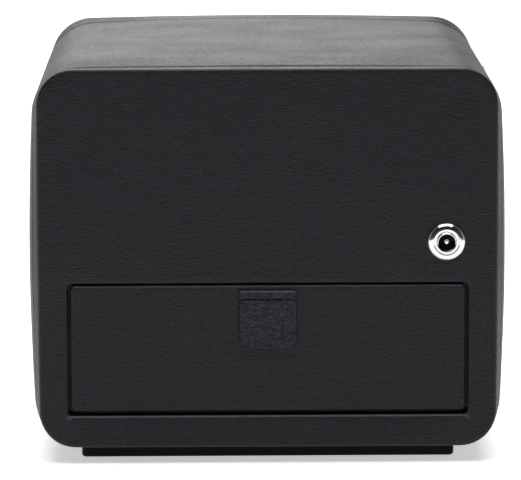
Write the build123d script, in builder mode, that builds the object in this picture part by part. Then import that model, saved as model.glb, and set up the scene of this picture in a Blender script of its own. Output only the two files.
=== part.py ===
from build123d import *

import math
import os

# Watch winder box: a leather-wrapped case with a glass door in front, a motor-driven drum that
# carries a watch cuff, and a battery compartment and power inlet at the back.
# Millimetres. +Z up, +Y towards the back. The origin is the middle of the base's underside.

# ---------------------------------------------------------------- driving dimensions
case_depth = 172.0
door_thickness = 13.6
door_gap = 0.4
rear_width = 165.0
rear_height = 138.0
rear_corner = 12.6
flare_depth = 15.0
flare_steps = (1.5, 3.0, 6.0, 10.0, flare_depth)
flare_side = 3.9
flare_top = 0.5
flare_bottom = 0.4
flare_corner = 16.5
seam_corner = 17.0
side_crown = 2.4
flare_top_crown = 0.8
seam_top_crown = 2.6
front_width = 170.4
front_corner = 14.6
front_top_crown = 1.3
front_edge = ((3.0, 0.0), (1.2, 0.48), (0.4, 1.2), (0.0, 2.4))
plinth_height = 5.5
plinth_width = 136.0
plinth_depth = 150.0
plinth_corner = 2.0
leather = 1.2
leather_thin = 1.0
seam_wrap = 0.8

back_y = case_depth / 2
front_y = -case_depth / 2
seam_y = front_y + door_thickness + door_gap
centre_z = plinth_height + flare_bottom + rear_height / 2
shell_length = back_y - seam_y

# Inner box of the case.
cavity_width = 154.0
cavity_height = 120.0
cavity_corner = 14.0
fit_gap = 0.3

# Rear panel with its battery opening.
panel_thickness = 5.0
panel_inner_y = back_y - panel_thickness
opening_width = 144.6
opening_height = 48.6
opening_corner = 1.8
opening_z = centre_z - 33.0
opening_bottom = opening_z - opening_height / 2
opening_top = opening_z + opening_height / 2

# Battery door and its pull tab.
door_side_gap = 0.9
door_top_gap = 0.7
door_bottom_gap = 1.6
battery_door_outer_y = back_y - 0.3
battery_door_inner_y = panel_inner_y + 0.2
battery_door_bottom = opening_bottom + door_bottom_gap
battery_door_top = opening_top - door_top_gap
battery_door_height = battery_door_top - battery_door_bottom
battery_door_width = opening_width - 2 * door_side_gap
battery_door_z = (battery_door_top + battery_door_bottom) / 2
tab_width = 20.7
tab_length = 21.2
tab_thickness = 1.4
tab_top = battery_door_top - 1.9
tab_fold = tab_top - 4.4
tab_fold_gap = 1.0

# Battery tray for two D cells in line.
tray_half_width = 70.5
tray_front_y = 41.0
tray_rear_y = panel_inner_y - 0.2
tray_wall = 1.6
tray_bottom = opening_bottom + 1.0
tray_top = opening_top - 1.0
tray_flange_width = 150.0
tray_flange_corner = 12.0
tray_flange_bottom = centre_z - cavity_height / 2 + 0.2
tray_flange_top = opening_top + 3.3
tray_flange_z = (tray_flange_top + tray_flange_bottom) / 2
tray_screw_x = 61.0
tray_screw_levels = (tray_flange_bottom + 1.4, tray_flange_top - 1.7)
rib_places = (-45, -15, 15, 45)
cell_bed_length = 125.0
cell_radius = 17.3
cell_y = 61.0
cell_z = 43.0
strike_x = 60.0
magnet_half_length = 5.0
magnet_half_height = 1.5
magnet_thickness = 2.0
strike_z = tray_top - tray_wall - 1.7

# Power inlet.
jack_x = -64.4
jack_z = centre_z + 6.2
jack_flange_radius = 6.9
jack_thread_radius = 5.4
jack_mouth_radius = 3.05

# Front door window.
window_width = 128.0
window_height = 96.0
window_corner = 8.0
glass_thickness = 3.0
glass_front_y = front_y + 7.6
rebate = 3.0

# Hinges of the front door.
hinge_x = -(rear_width / 2 + flare_side + 0.1)
hinge_y = seam_y - door_gap / 2
hinge_offset_z = 38.0
hinge_half_length = 12.0
hinge_radius = 2.0
pin_radius = 1.0
leaf_thickness = 0.8
leaf_inner_x = -79.0
knuckle_half = 4.0
catch_x = 80.8
catch_offset_z = 40.0
catch_radius = 3.0
catch_plate_depth = 1.2
catch_magnet_depth = 2.4
catch_back_y = seam_y - door_gap - catch_magnet_depth
knob_x = 75.0
knob_screw_radius = 1.5
knob_screw_head_radius = 3.0
hinge_screw_x = -81.6
hinge_screw_offset_z = 8.0
hinge_screw_radius = 0.8
hinge_screw_depth = 7.0

# Winding drum.
drum_radius = 52.0
drum_front_y = -57.6
drum_rear_y = -1.0
drum_wall = 2.0
fascia_front_y = -57.0
fascia_rear_y = -53.0
fascia_hole = 53.0
lining_radius = drum_radius - drum_wall
pocket_width = 74.0
pocket_height = 62.0
pocket_depth = 48.0
shaft_radius = 3.0
running_gap = 0.04
cuff_length = 70.0
cuff_height = 50.0
cuff_depth = 42.0
cuff_y = -35.0

# Gear pair.
gear_module = 1.0
drum_teeth = 72
pinion_teeth = 12
pressure_angle = math.radians(20)
gear_front_y = 3.0
gear_rear_y = 9.0
gear_distance = gear_module * (drum_teeth + pinion_teeth) / 2
motor_x = -27.0
motor_z = centre_z + math.sqrt(gear_distance**2 - motor_x**2)

# Partition that carries the mechanism.
partition_front_y = 14.0
partition_rear_y = 18.0
housing_radius = 10.9
lead_hole_x = 66.0
lead_hole_z = 92.0

# Control board behind the fascia.
board_x = 59.0
board_z = 31.75
board_width = 26.0
board_height = 24.5
board_front_y = -46.0
board_rear_y = -44.4
button_x = 60.0
button_z = 29.0
led_z = 39.5
button_radius = 4.0
lead_radius = 1.4

os.makedirs("parts", exist_ok=True)


def save(builder, name):
    """Label a finished piece and write it to its own file."""
    builder.part.label = name
    export_step(builder.part, f"parts/{name}.step")


def face_plane(y, z=centre_z, x=0.0):
    """Plane facing the front at depth y; extrusions from it run towards the front."""
    return Plane(origin=(x, y, z), x_dir=(1, 0, 0), z_dir=(0, -1, 0))


def rear_plane(y, z=centre_z, x=0.0):
    """Plane facing the back at depth y; extrusions from it run towards the back."""
    return Plane(origin=(x, y, z), x_dir=(-1, 0, 0), z_dir=(0, 1, 0))


def block(low, high, mode=Mode.ADD):
    """Box between two opposite corners."""
    middle = [(a + b) / 2 for a, b in zip(low, high)]
    size = [b - a for a, b in zip(low, high)]
    with Locations(Vector(*middle)):
        Box(*size, mode=mode)


def round_bar(x, z, radius, start_y, end_y, mode=Mode.ADD):
    """Cylinder along Y from start_y back to end_y."""
    with Locations(rear_plane(start_y, z, x)):
        Cylinder(radius, end_y - start_y, align=(Align.CENTER, Align.CENTER, Align.MIN), mode=mode)


def crowned_outline(y, middle, width, height, corner, bulge, crown):
    """Rounded outline across the case whose sides bow out by bulge and whose top by crown."""
    foot_x = width / 2 - bulge
    foot_z = -height / 2
    shoulder_z = height / 2 - crown
    waist_z = (foot_z + shoulder_z) / 2
    with BuildSketch(face_plane(y, middle)) as section:
        with BuildLine() as edge:
            Line((-foot_x, foot_z), (foot_x, foot_z))
            if bulge:
                ThreePointArc((foot_x, foot_z), (width / 2, waist_z), (foot_x, shoulder_z))
                ThreePointArc((-foot_x, shoulder_z), (-width / 2, waist_z), (-foot_x, foot_z))
            else:
                Line((foot_x, foot_z), (foot_x, shoulder_z))
                Line((-foot_x, shoulder_z), (-foot_x, foot_z))
            if crown:
                ThreePointArc((foot_x, shoulder_z), (0, height / 2), (-foot_x, shoulder_z))
            else:
                Line((foot_x, shoulder_z), (-foot_x, shoulder_z))
        make_face(edge.edges())
        fillet(section.vertices(), corner)
    return section.sketch


def belly_section(depth, inset):
    """Outline of the case at a depth from the back face, drawn in by inset."""
    grown = min(depth, flare_depth) / flare_depth
    swell = 1 - (1 - grown) ** 2
    straight = min(max(0.0, depth - flare_depth) / (shell_length - flare_depth), 1.0)
    corner = rear_corner + (flare_corner - rear_corner) * swell
    corner += (seam_corner - flare_corner) * straight
    crown = flare_top_crown * swell + (seam_top_crown - flare_top_crown) * straight
    width = rear_width + 2 * flare_side * swell - 2 * inset
    height = rear_height + (flare_top + flare_bottom) * swell - 2 * inset
    middle = centre_z + (flare_top - flare_bottom) * swell / 2
    return crowned_outline(
        back_y - depth, middle, width, height, corner - inset, side_crown * swell, crown
    )


def belly_solid(inset, start, end, mode=Mode.ADD):
    """Solid of the case's outer form between two depths from the back face."""
    depths = [start] + [depth for depth in flare_steps if start < depth < end] + [end]
    loft([belly_section(depth, inset) for depth in depths], ruled=True, mode=mode)


def rounded_plate(front, rear, width, height, corner, mode=Mode.ADD, z=centre_z):
    """Rounded rectangular plate between two depths."""
    with BuildSketch(face_plane(rear, z)) as outline:
        RectangleRounded(width, height, corner)
    extrude(outline.sketch, amount=rear - front, mode=mode)


hinge_heights = [centre_z - hinge_offset_z, centre_z + hinge_offset_z]
catch_heights = [centre_z - catch_offset_z, centre_z + catch_offset_z]


def hinge_mortises(near, far):
    """Recesses for the hinge leaves and barrels on one side of the seam."""
    for height in hinge_heights:
        block(
            (hinge_x - 3, near, height - hinge_half_length - fit_gap),
            (leaf_inner_x + fit_gap, far, height + hinge_half_length + fit_gap),
            mode=Mode.SUBTRACT,
        )
        with Locations((hinge_x, hinge_y, height)):
            Cylinder(hinge_radius + 0.4, 2 * hinge_half_length + 2 * fit_gap, mode=Mode.SUBTRACT)


def hinge_screw_places():
    """Places of the two screws in each leaf."""
    return [
        (hinge_screw_x, height + side * hinge_screw_offset_z)
        for height in hinge_heights
        for side in (-1, 1)
    ]


# ---------------------------------------------------------------- case shell
with BuildPart() as shell_core:
    belly_solid(leather, panel_thickness, shell_length - seam_wrap)
    rounded_plate(seam_y - 1, back_y, cavity_width, cavity_height, cavity_corner, Mode.SUBTRACT)
    hinge_mortises(seam_y - 1, seam_y + leaf_thickness)
    for screw_x, screw_z in hinge_screw_places():
        round_bar(
            screw_x, screw_z, hinge_screw_radius, seam_y, seam_y + hinge_screw_depth,
            Mode.SUBTRACT,
        )
    for height in catch_heights:
        round_bar(catch_x, height, catch_radius, seam_y - 1, seam_y + catch_plate_depth, Mode.SUBTRACT)
save(shell_core, "shell_core")

with BuildPart() as shell_leather:
    belly_solid(0, panel_thickness + fit_gap, shell_length)
    belly_solid(leather, panel_thickness, shell_length - seam_wrap, Mode.SUBTRACT)
    rounded_plate(seam_y - 1, seam_y + 1, cavity_width, cavity_height, cavity_corner, Mode.SUBTRACT)
    hinge_mortises(seam_y - 1, seam_y + leaf_thickness)
    for height in catch_heights:
        round_bar(catch_x, height, catch_radius, seam_y - 1, seam_y + catch_plate_depth, Mode.SUBTRACT)
save(shell_leather, "shell_leather")

with BuildPart() as plinth:
    with BuildSketch(Plane.XY):
        RectangleRounded(plinth_width, plinth_depth, plinth_corner)
    extrude(amount=plinth_height)
    chamfer(plinth.edges().group_by(Axis.Z)[0], 0.6)
save(plinth, "plinth")

# ---------------------------------------------------------------- rear panel
with BuildPart() as rear_panel_core:
    belly_solid(leather, leather, panel_thickness)
    rounded_plate(
        panel_inner_y - 1,
        back_y,
        opening_width + 2 * leather_thin,
        opening_height + 2 * leather_thin,
        opening_corner + leather_thin,
        Mode.SUBTRACT,
        opening_z,
    )
    round_bar(jack_x, jack_z, jack_thread_radius, panel_inner_y - 1, back_y, Mode.SUBTRACT)
save(rear_panel_core, "rear_panel_core")

with BuildPart() as rear_panel_leather:
    belly_solid(0, 0, panel_thickness)
    fillet(rear_panel_leather.edges().group_by(Axis.Y)[-1], 1.6)
    belly_solid(leather, leather, panel_thickness, Mode.SUBTRACT)
    with BuildSketch(face_plane(panel_inner_y + 0.01, opening_z)):
        RectangleRounded(
            opening_width + 2 * leather_thin, opening_height + 2 * leather_thin, opening_corner + 1
        )
    extrude(amount=-(panel_thickness - leather - 0.01))
    rounded_plate(
        panel_inner_y - 1, back_y + 1, opening_width, opening_height, opening_corner,
        Mode.SUBTRACT, opening_z,
    )
    round_bar(jack_x, jack_z, jack_thread_radius, panel_inner_y - 1, back_y + 1, Mode.SUBTRACT)
save(rear_panel_leather, "rear_panel_leather")

# ---------------------------------------------------------------- battery door
with BuildPart() as battery_door_core:
    rounded_plate(
        battery_door_inner_y,
        battery_door_outer_y - leather_thin,
        battery_door_width - 2 * leather_thin,
        battery_door_height - 2 * leather_thin,
        1.0,
        z=battery_door_z,
    )
    for side in (-1, 1):
        block(
            (side * strike_x - magnet_half_length, battery_door_inner_y - 1, strike_z - magnet_half_height),
            (
                side * strike_x + magnet_half_length,
                battery_door_inner_y + magnet_thickness,
                strike_z + magnet_half_height,
            ),
            Mode.SUBTRACT,
        )
save(battery_door_core, "battery_door_core")

with BuildPart() as battery_door_leather:
    rounded_plate(
        battery_door_inner_y,
        battery_door_outer_y,
        battery_door_width,
        battery_door_height,
        1.8,
        z=battery_door_z,
    )
    fillet(battery_door_leather.edges().group_by(Axis.Y)[-1], 0.7)
    rounded_plate(
        battery_door_inner_y - 1,
        battery_door_outer_y - leather_thin,
        battery_door_width - 2 * leather_thin,
        battery_door_height - 2 * leather_thin,
        1.0,
        Mode.SUBTRACT,
        battery_door_z,
    )
save(battery_door_leather, "battery_door_leather")

with BuildPart() as battery_door_magnets:
    for side in (-1, 1):
        block(
            (side * strike_x - magnet_half_length, battery_door_inner_y, strike_z - magnet_half_height),
            (
                side * strike_x + magnet_half_length,
                battery_door_inner_y + magnet_thickness,
                strike_z + magnet_half_height,
            ),
        )
save(battery_door_magnets, "battery_door_magnets")

with BuildPart() as pull_tab_anchor:
    block(
        (-tab_width / 2, battery_door_outer_y, tab_fold + tab_fold_gap),
        (tab_width / 2, battery_door_outer_y + tab_thickness, tab_top),
    )
    fillet(pull_tab_anchor.edges().filter_by(Axis.X).group_by(Axis.Y)[-1].sort_by(Axis.Z)[-1], 0.6)
save(pull_tab_anchor, "pull_tab_anchor")

with BuildPart() as pull_tab_flap:
    with BuildSketch(rear_plane(battery_door_outer_y + 0.15, tab_fold)):
        with Locations((0, -(tab_length - (tab_top - tab_fold)) / 2)):
            flap_outline = Rectangle(tab_width, tab_length - (tab_top - tab_fold))
        fillet(flap_outline.vertices().group_by(Axis.Z)[0], 4.5)
    extrude(amount=tab_thickness - 0.15)
save(pull_tab_flap, "pull_tab_flap")

# ---------------------------------------------------------------- battery tray
tray_screw_places = [
    (side * tray_screw_x, level) for side in (-1, 1) for level in tray_screw_levels
]

with BuildPart() as battery_tray:
    block(
        (-tray_half_width, tray_front_y, tray_bottom),
        (tray_half_width, tray_rear_y, tray_top),
    )
    rounded_plate(
        tray_rear_y - tray_wall, tray_rear_y, tray_flange_width,
        tray_flange_top - tray_flange_bottom, tray_flange_corner, z=tray_flange_z,
    )
    block(
        (-tray_half_width + tray_wall, tray_front_y + tray_wall, tray_bottom + tray_wall),
        (tray_half_width - tray_wall, tray_rear_y + 1, tray_top - tray_wall),
        Mode.SUBTRACT,
    )
    for rib_x in rib_places:
        block(
            (rib_x - 1, tray_front_y + 1, tray_bottom + 1),
            (rib_x + 1, cell_y, cell_z - 8),
        )
    with Locations(Plane(origin=(0, cell_y, cell_z), z_dir=(1, 0, 0))):
        Cylinder(cell_radius, cell_bed_length, mode=Mode.SUBTRACT)
    for side in (-1, 1):
        block(
            (side * strike_x - 6, 70, strike_z - 1.8),
            (side * strike_x + 6, tray_rear_y, tray_top - 1),
        )
        block(
            (side * strike_x - magnet_half_length, tray_rear_y - 1, strike_z - magnet_half_height),
            (side * strike_x + magnet_half_length, tray_rear_y + 1, strike_z + magnet_half_height),
            Mode.SUBTRACT,
        )
    for screw_x, screw_z in tray_screw_places:
        round_bar(screw_x, screw_z, 0.8, tray_rear_y - 3, tray_rear_y + 1, Mode.SUBTRACT)
save(battery_tray, "battery_tray")

with BuildPart() as tray_strike_plates:
    for side in (-1, 1):
        block(
            (side * strike_x - magnet_half_length, tray_rear_y - 1, strike_z - magnet_half_height),
            (side * strike_x + magnet_half_length, tray_rear_y, strike_z + magnet_half_height),
        )
save(tray_strike_plates, "tray_strike_plates")

with BuildPart() as tray_screws:
    for screw_x, screw_z in tray_screw_places:
        round_bar(screw_x, screw_z, 1.3, tray_rear_y - 2.8, tray_rear_y - tray_wall)
        round_bar(screw_x, screw_z, 0.8, tray_rear_y - tray_wall, tray_rear_y)
save(tray_screws, "tray_screws")

contact_wall = tray_half_width - tray_wall
with BuildPart() as battery_spring_contact:
    with BuildSketch(Plane.XY.offset(cell_z - 6)):
        with BuildLine():
            Polyline(
                (-contact_wall, 50),
                (-contact_wall, 72),
                (-contact_wall + 0.5, 72),
                (-contact_wall + 0.5, 68),
                (-contact_wall + 5.5, 62),
                (-contact_wall + 5.5, 60),
                (-contact_wall + 0.5, 54),
                (-contact_wall + 0.5, 50),
                close=True,
            )
        make_face()
        with BuildLine():
            Polyline(
                (-contact_wall + 0.5, 66.9),
                (-contact_wall + 4.9, 61.7),
                (-contact_wall + 4.9, 60.3),
                (-contact_wall + 0.5, 55.1),
                close=True,
            )
        make_face(mode=Mode.SUBTRACT)
    extrude(amount=12)
save(battery_spring_contact, "battery_spring_contact")

with BuildPart() as battery_plate_contact:
    block((contact_wall - 0.5, 51, cell_z - 9), (contact_wall, 71, cell_z + 9))
    with Locations(Plane(origin=(contact_wall - 0.5, cell_y, cell_z), z_dir=(-1, 0, 0))):
        Cylinder(3.5, 1.0, align=(Align.CENTER, Align.CENTER, Align.MIN))
save(battery_plate_contact, "battery_plate_contact")

# ---------------------------------------------------------------- power inlet
with BuildPart() as dc_jack_shell:
    with BuildSketch(Plane(origin=(jack_x, 0, jack_z), x_dir=(1, 0, 0), z_dir=(0, 0, 1))):
        with BuildLine():
            Polyline(
                (jack_mouth_radius, 70),
                (jack_thread_radius, 70),
                (jack_thread_radius, back_y),
                (jack_flange_radius, back_y),
                (jack_flange_radius, back_y + 0.5),
            )
            ThreePointArc(
                (jack_flange_radius, back_y + 0.5), (6.0, back_y + 1.5), (4.75, back_y + 2.0)
            )
            Polyline(
                (4.75, back_y + 2.0),
                (4.5, back_y + 1.9),
                (4.3, back_y + 1.1),
                (3.75, back_y + 1.1),
                (3.65, back_y + 2.2),
                (jack_mouth_radius + 0.35, back_y + 2.5),
                (jack_mouth_radius + 0.1, back_y + 2.4),
                (jack_mouth_radius, back_y + 2.1),
                (jack_mouth_radius, 70),
            )
        make_face()
    revolve(axis=Axis((jack_x, 0, jack_z), (0, 1, 0)))
save(dc_jack_shell, "dc_jack_shell")

with BuildPart() as dc_jack_insulator:
    round_bar(jack_x, jack_z, jack_thread_radius, 68, 70)
    round_bar(jack_x, jack_z, jack_mouth_radius, 70, 76)
    round_bar(jack_x, jack_z, 1.0, 68, 76, Mode.SUBTRACT)
save(dc_jack_insulator, "dc_jack_insulator")

with BuildPart() as dc_jack_pin:
    round_bar(jack_x, jack_z, 1.0, 63, back_y + 0.6)
    fillet(dc_jack_pin.edges().group_by(Axis.Y)[-1], 0.7)
save(dc_jack_pin, "dc_jack_pin")

with BuildPart() as dc_jack_nut:
    with BuildSketch(face_plane(panel_inner_y, jack_z, jack_x)):
        RegularPolygon(7.6, 6)
        Circle(jack_thread_radius, mode=Mode.SUBTRACT)
    extrude(amount=2.4)
save(dc_jack_nut, "dc_jack_nut")

# ---------------------------------------------------------------- fascia and lining
with BuildPart() as chamber_lining:
    rounded_plate(seam_y + 0.2, fascia_front_y, cavity_width, cavity_height, cavity_corner)
    rounded_plate(
        seam_y - 1, fascia_front_y + 1, cavity_width - 2.4, cavity_height - 2.4,
        cavity_corner - 1.2, Mode.SUBTRACT,
    )
save(chamber_lining, "chamber_lining")

spacer_places = [(board_x + i * 10, board_z + k * 9.5) for i in (-1, 1) for k in (-1, 1)]

with BuildPart() as fascia:
    rounded_plate(
        fascia_front_y, fascia_rear_y, cavity_width - 0.4, cavity_height - 0.4, cavity_corner - 0.2
    )
    round_bar(0, centre_z, fascia_hole, fascia_front_y - 1, fascia_rear_y + 1, Mode.SUBTRACT)
    round_bar(
        button_x, button_z, button_radius + 0.08, fascia_front_y - 1, fascia_rear_y + 1,
        Mode.SUBTRACT,
    )
    round_bar(button_x, led_z, 1.5, fascia_front_y - 1, fascia_rear_y + 1, Mode.SUBTRACT)
    for spacer_x, spacer_z in spacer_places:
        round_bar(spacer_x, spacer_z, 1.0, fascia_rear_y - 2.5, fascia_rear_y, Mode.SUBTRACT)
save(fascia, "fascia")

# ---------------------------------------------------------------- control board
with BuildPart() as control_board:
    with BuildSketch(face_plane(board_rear_y, board_z, board_x)):
        RectangleRounded(board_width, board_height, 1.5)
    extrude(amount=board_rear_y - board_front_y)
    for spacer_x, spacer_z in spacer_places:
        round_bar(spacer_x, spacer_z, 1.0, board_front_y - 1, board_rear_y + 1, Mode.SUBTRACT)
save(control_board, "control_board")

with BuildPart() as board_spacers:
    for spacer_x, spacer_z in spacer_places:
        round_bar(spacer_x, spacer_z, 2.2, fascia_rear_y, board_front_y)
        round_bar(spacer_x, spacer_z, 1.0, fascia_rear_y - 1, board_front_y + 1, Mode.SUBTRACT)
save(board_spacers, "board_spacers")

with BuildPart() as board_screws:
    for spacer_x, spacer_z in spacer_places:
        round_bar(spacer_x, spacer_z, 1.0, fascia_rear_y - 2.5, board_rear_y)
        round_bar(spacer_x, spacer_z, 2.0, board_rear_y, board_rear_y + 1.2)
save(board_screws, "board_screws")

with BuildPart() as board_components:
    block((51, board_rear_y, 28), (58, board_rear_y + 1.6, 36))
    block((52, board_rear_y, 20.5), (66, board_rear_y + 6, 26))
    round_bar(66, 32, 2.5, board_rear_y, board_rear_y + 7)
    block((60, board_rear_y, 37), (65, board_rear_y + 1.2, 40))
    block((53, board_rear_y, 38), (56, board_rear_y + 1.2, 43))
save(board_components, "board_components")

with BuildPart() as switch_body:
    block(
        (button_x - 3.5, board_front_y - 3.6, button_z - 3.5),
        (button_x + 3.5, board_front_y, button_z + 3.5),
    )
    fillet(switch_body.edges().filter_by(Axis.Y), 0.6)
save(switch_body, "switch_body")

with BuildPart() as power_button:
    round_bar(button_x, button_z, button_radius, fascia_front_y - 1.8, fascia_rear_y + 1.4)
    round_bar(button_x, button_z, button_radius + 1.2, fascia_rear_y + 0.4, fascia_rear_y + 1.6)
    fillet(power_button.edges().group_by(Axis.Y)[0], 0.6)
save(power_button, "power_button")

with BuildPart() as led_lens:
    round_bar(button_x, led_z, 1.5, fascia_front_y - 0.6, board_front_y)
    fillet(led_lens.edges().group_by(Axis.Y)[0], 1.0)
    round_bar(button_x, led_z, 1.9, board_front_y - 2, board_front_y)
save(led_lens, "led_lens")

# ---------------------------------------------------------------- winding drum
with BuildPart() as drum_cup:
    round_bar(0, centre_z, drum_radius, drum_front_y, drum_rear_y)
    round_bar(0, centre_z, lining_radius, drum_front_y - 1, drum_rear_y - 3, Mode.SUBTRACT)
    round_bar(0, centre_z, 8, drum_rear_y, gear_front_y)
    round_bar(0, centre_z, shaft_radius, drum_front_y, gear_front_y + 1, Mode.SUBTRACT)
save(drum_cup, "drum_cup")

with BuildPart() as drum_lining:
    with BuildSketch(face_plane(drum_rear_y - 3)):
        Circle(lining_radius)
    extrude(amount=drum_rear_y - 3 - drum_front_y)
    rounded_plate(
        drum_front_y - 1, drum_front_y + pocket_depth, pocket_width, pocket_height, 4, Mode.SUBTRACT
    )
    round_bar(0, centre_z, shaft_radius + 2, drum_rear_y - 6, drum_rear_y, Mode.SUBTRACT)
save(drum_lining, "drum_lining")

with BuildPart() as drum_trim_ring:
    with BuildSketch(face_plane(drum_front_y)):
        Circle(55.5)
        Circle(lining_radius - 0.6, mode=Mode.SUBTRACT)
    extrude(amount=2.4)
    fillet(drum_trim_ring.edges().group_by(Axis.Y)[0], 0.9)
save(drum_trim_ring, "drum_trim_ring")

with BuildPart() as drum_shaft:
    round_bar(0, centre_z, shaft_radius, drum_rear_y - 3, 34)
    round_bar(0, centre_z, shaft_radius + 1.6, drum_rear_y - 4.6, drum_rear_y - 3)
    chamfer(drum_shaft.edges().group_by(Axis.Y)[-1], 0.5)
save(drum_shaft, "drum_shaft")

with BuildPart() as shaft_clip:
    with BuildSketch(face_plane(33.2)):
        Circle(shaft_radius + 2.4)
        Circle(shaft_radius, mode=Mode.SUBTRACT)
        with Locations((0, -4)):
            Rectangle(2.4, 5, mode=Mode.SUBTRACT)
    extrude(amount=0.8)
save(shaft_clip, "shaft_clip")


def involute_point(base_radius, radius, turn, side):
    """Point of an involute flank at a radius, on either side of the tooth's centre line."""
    angle = math.sqrt((radius / base_radius) ** 2 - 1)
    swept = turn - side * (angle - math.atan(angle))
    return (radius * math.cos(swept), radius * math.sin(swept))


def gear_outline(teeth, first_turn, backlash=0.08):
    """Closed spur gear outline, in the current sketch, with a tooth centred on first_turn."""
    pitch_radius = gear_module * teeth / 2
    base_radius = pitch_radius * math.cos(pressure_angle)
    tip_radius = pitch_radius + 0.9 * gear_module
    root_radius = pitch_radius - 1.25 * gear_module
    start_radius = max(base_radius * 1.001, root_radius + 0.2)
    half = math.pi / (2 * teeth) - backlash / pitch_radius / 2
    half += math.tan(pressure_angle) - pressure_angle
    flank_radii = [start_radius + (tip_radius - start_radius) * k / 3 for k in range(4)]
    with BuildLine() as outline:
        for tooth in range(teeth):
            centre = first_turn + 2 * math.pi * tooth / teeth
            rising = [involute_point(base_radius, r, centre - half, -1) for r in flank_radii]
            falling = [involute_point(base_radius, r, centre + half, 1) for r in flank_radii]
            gap_turn = centre + math.pi / teeth
            next_rise = involute_point(
                base_radius, start_radius, centre + 2 * math.pi / teeth - half, -1
            )
            foot = math.atan2(falling[0][1], falling[0][0])
            next_foot = math.atan2(next_rise[1], next_rise[0])
            foot_point = (root_radius * math.cos(foot), root_radius * math.sin(foot))
            next_point = (root_radius * math.cos(next_foot), root_radius * math.sin(next_foot))
            middle = (root_radius * math.cos(gap_turn), root_radius * math.sin(gap_turn))
            tip = (tip_radius * math.cos(centre), tip_radius * math.sin(centre))
            Spline(*rising)
            ThreePointArc(rising[-1], tip, falling[-1])
            Spline(*reversed(falling))
            Line(falling[0], foot_point)
            ThreePointArc(foot_point, middle, next_point)
            Line(next_point, next_rise)
    make_face(outline.edges())


# Direction from the drum axis to the motor axis, seen in the drawing plane of the gears.
mesh_turn = math.atan2(motor_z - centre_z, motor_x)

with BuildPart() as drum_gear:
    with BuildSketch(face_plane(gear_rear_y)):
        gear_outline(drum_teeth, mesh_turn)
        Circle(shaft_radius, mode=Mode.SUBTRACT)
        with PolarLocations(21, 6):
            Circle(7, mode=Mode.SUBTRACT)
    extrude(amount=gear_rear_y - gear_front_y)
    with BuildSketch(rear_plane(gear_rear_y)):
        Circle(6)
        Circle(shaft_radius, mode=Mode.SUBTRACT)
    extrude(amount=2.6)
save(drum_gear, "drum_gear")

with BuildPart() as motor_pinion:
    with BuildSketch(face_plane(gear_rear_y + 0.5, motor_z, motor_x)):
        gear_outline(pinion_teeth, mesh_turn + math.pi + math.pi / pinion_teeth)
    extrude(amount=gear_rear_y - gear_front_y + 1)
    round_bar(motor_x, motor_z, 2.0, gear_rear_y, partition_rear_y + 8)
save(motor_pinion, "motor_pinion")

# ---------------------------------------------------------------- watch cuff


def cuff_plane(x):
    """Plane across the cuff at x, with its first axis along Y."""
    return Plane(origin=(x, cuff_y, centre_z), x_dir=(0, 1, 0), z_dir=(1, 0, 0))


with BuildPart() as cuff_core:
    with BuildSketch(cuff_plane(-cuff_length / 2 - 1.4)):
        Ellipse(cuff_depth / 2 - 9, cuff_height / 2 - 9)
    extrude(amount=cuff_length + 2.8)
    with BuildSketch(cuff_plane(-cuff_length / 2 - 2)):
        Ellipse(cuff_depth / 2 - 11.5, cuff_height / 2 - 11.5)
    extrude(amount=cuff_length + 4, mode=Mode.SUBTRACT)
save(cuff_core, "cuff_core")

with BuildPart() as cuff_pad:
    with BuildSketch(cuff_plane(-cuff_length / 2)):
        Ellipse(cuff_depth / 2, cuff_height / 2)
        Ellipse(cuff_depth / 2 - 9, cuff_height / 2 - 9, mode=Mode.SUBTRACT)
    extrude(amount=cuff_length)
save(cuff_pad, "cuff_pad")

# ---------------------------------------------------------------- partition and motor
gearbox_half = 15.0
gearbox_rear_y = 34.0
gearbox_screw_places = [(motor_x + i * 12, motor_z + k * 12) for i in (-1, 1) for k in (-1, 1)]
partition_screw_places = [(i * 68, centre_z + k * 51) for i in (-1, 1) for k in (-1, 1)]

with BuildPart() as partition_board:
    rounded_plate(
        partition_front_y, partition_rear_y, cavity_width - 0.4, cavity_height - 0.4, 13.8
    )
    round_bar(
        0, centre_z, housing_radius, partition_front_y - 1, partition_rear_y + 1, Mode.SUBTRACT
    )
    round_bar(motor_x, motor_z, 5, partition_front_y - 1, partition_rear_y + 1, Mode.SUBTRACT)
    round_bar(
        lead_hole_x, lead_hole_z, 7, partition_front_y - 1, partition_rear_y + 1, Mode.SUBTRACT
    )
    for screw_x, screw_z in gearbox_screw_places:
        round_bar(screw_x, screw_z, 1.3, partition_front_y - 1, partition_rear_y + 1, Mode.SUBTRACT)
    for screw_x, screw_z in partition_screw_places:
        round_bar(screw_x, screw_z, 1.4, partition_front_y - 1, partition_rear_y + 1, Mode.SUBTRACT)
save(partition_board, "partition_board")

with BuildPart() as partition_screws:
    for screw_x, screw_z in partition_screw_places:
        round_bar(screw_x, screw_z, 1.4, partition_front_y - 4, partition_rear_y)
        round_bar(screw_x, screw_z, 2.6, partition_rear_y, partition_rear_y + 1.6)
save(partition_screws, "partition_screws")

with BuildPart() as bearing_housing:
    round_bar(0, centre_z, 16, partition_front_y - 2, partition_front_y)
    round_bar(0, centre_z, housing_radius, partition_front_y, 31.5)
    round_bar(0, centre_z, 5, partition_front_y - 3, 32, Mode.SUBTRACT)
save(bearing_housing, "bearing_housing")

with BuildPart() as shaft_bushes:
    for bush_y in (partition_front_y - 2, 26.5):
        round_bar(0, centre_z, 5, bush_y, bush_y + 5)
        round_bar(0, centre_z, shaft_radius + running_gap, bush_y - 1, bush_y + 6, Mode.SUBTRACT)
save(shaft_bushes, "shaft_bushes")

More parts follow.
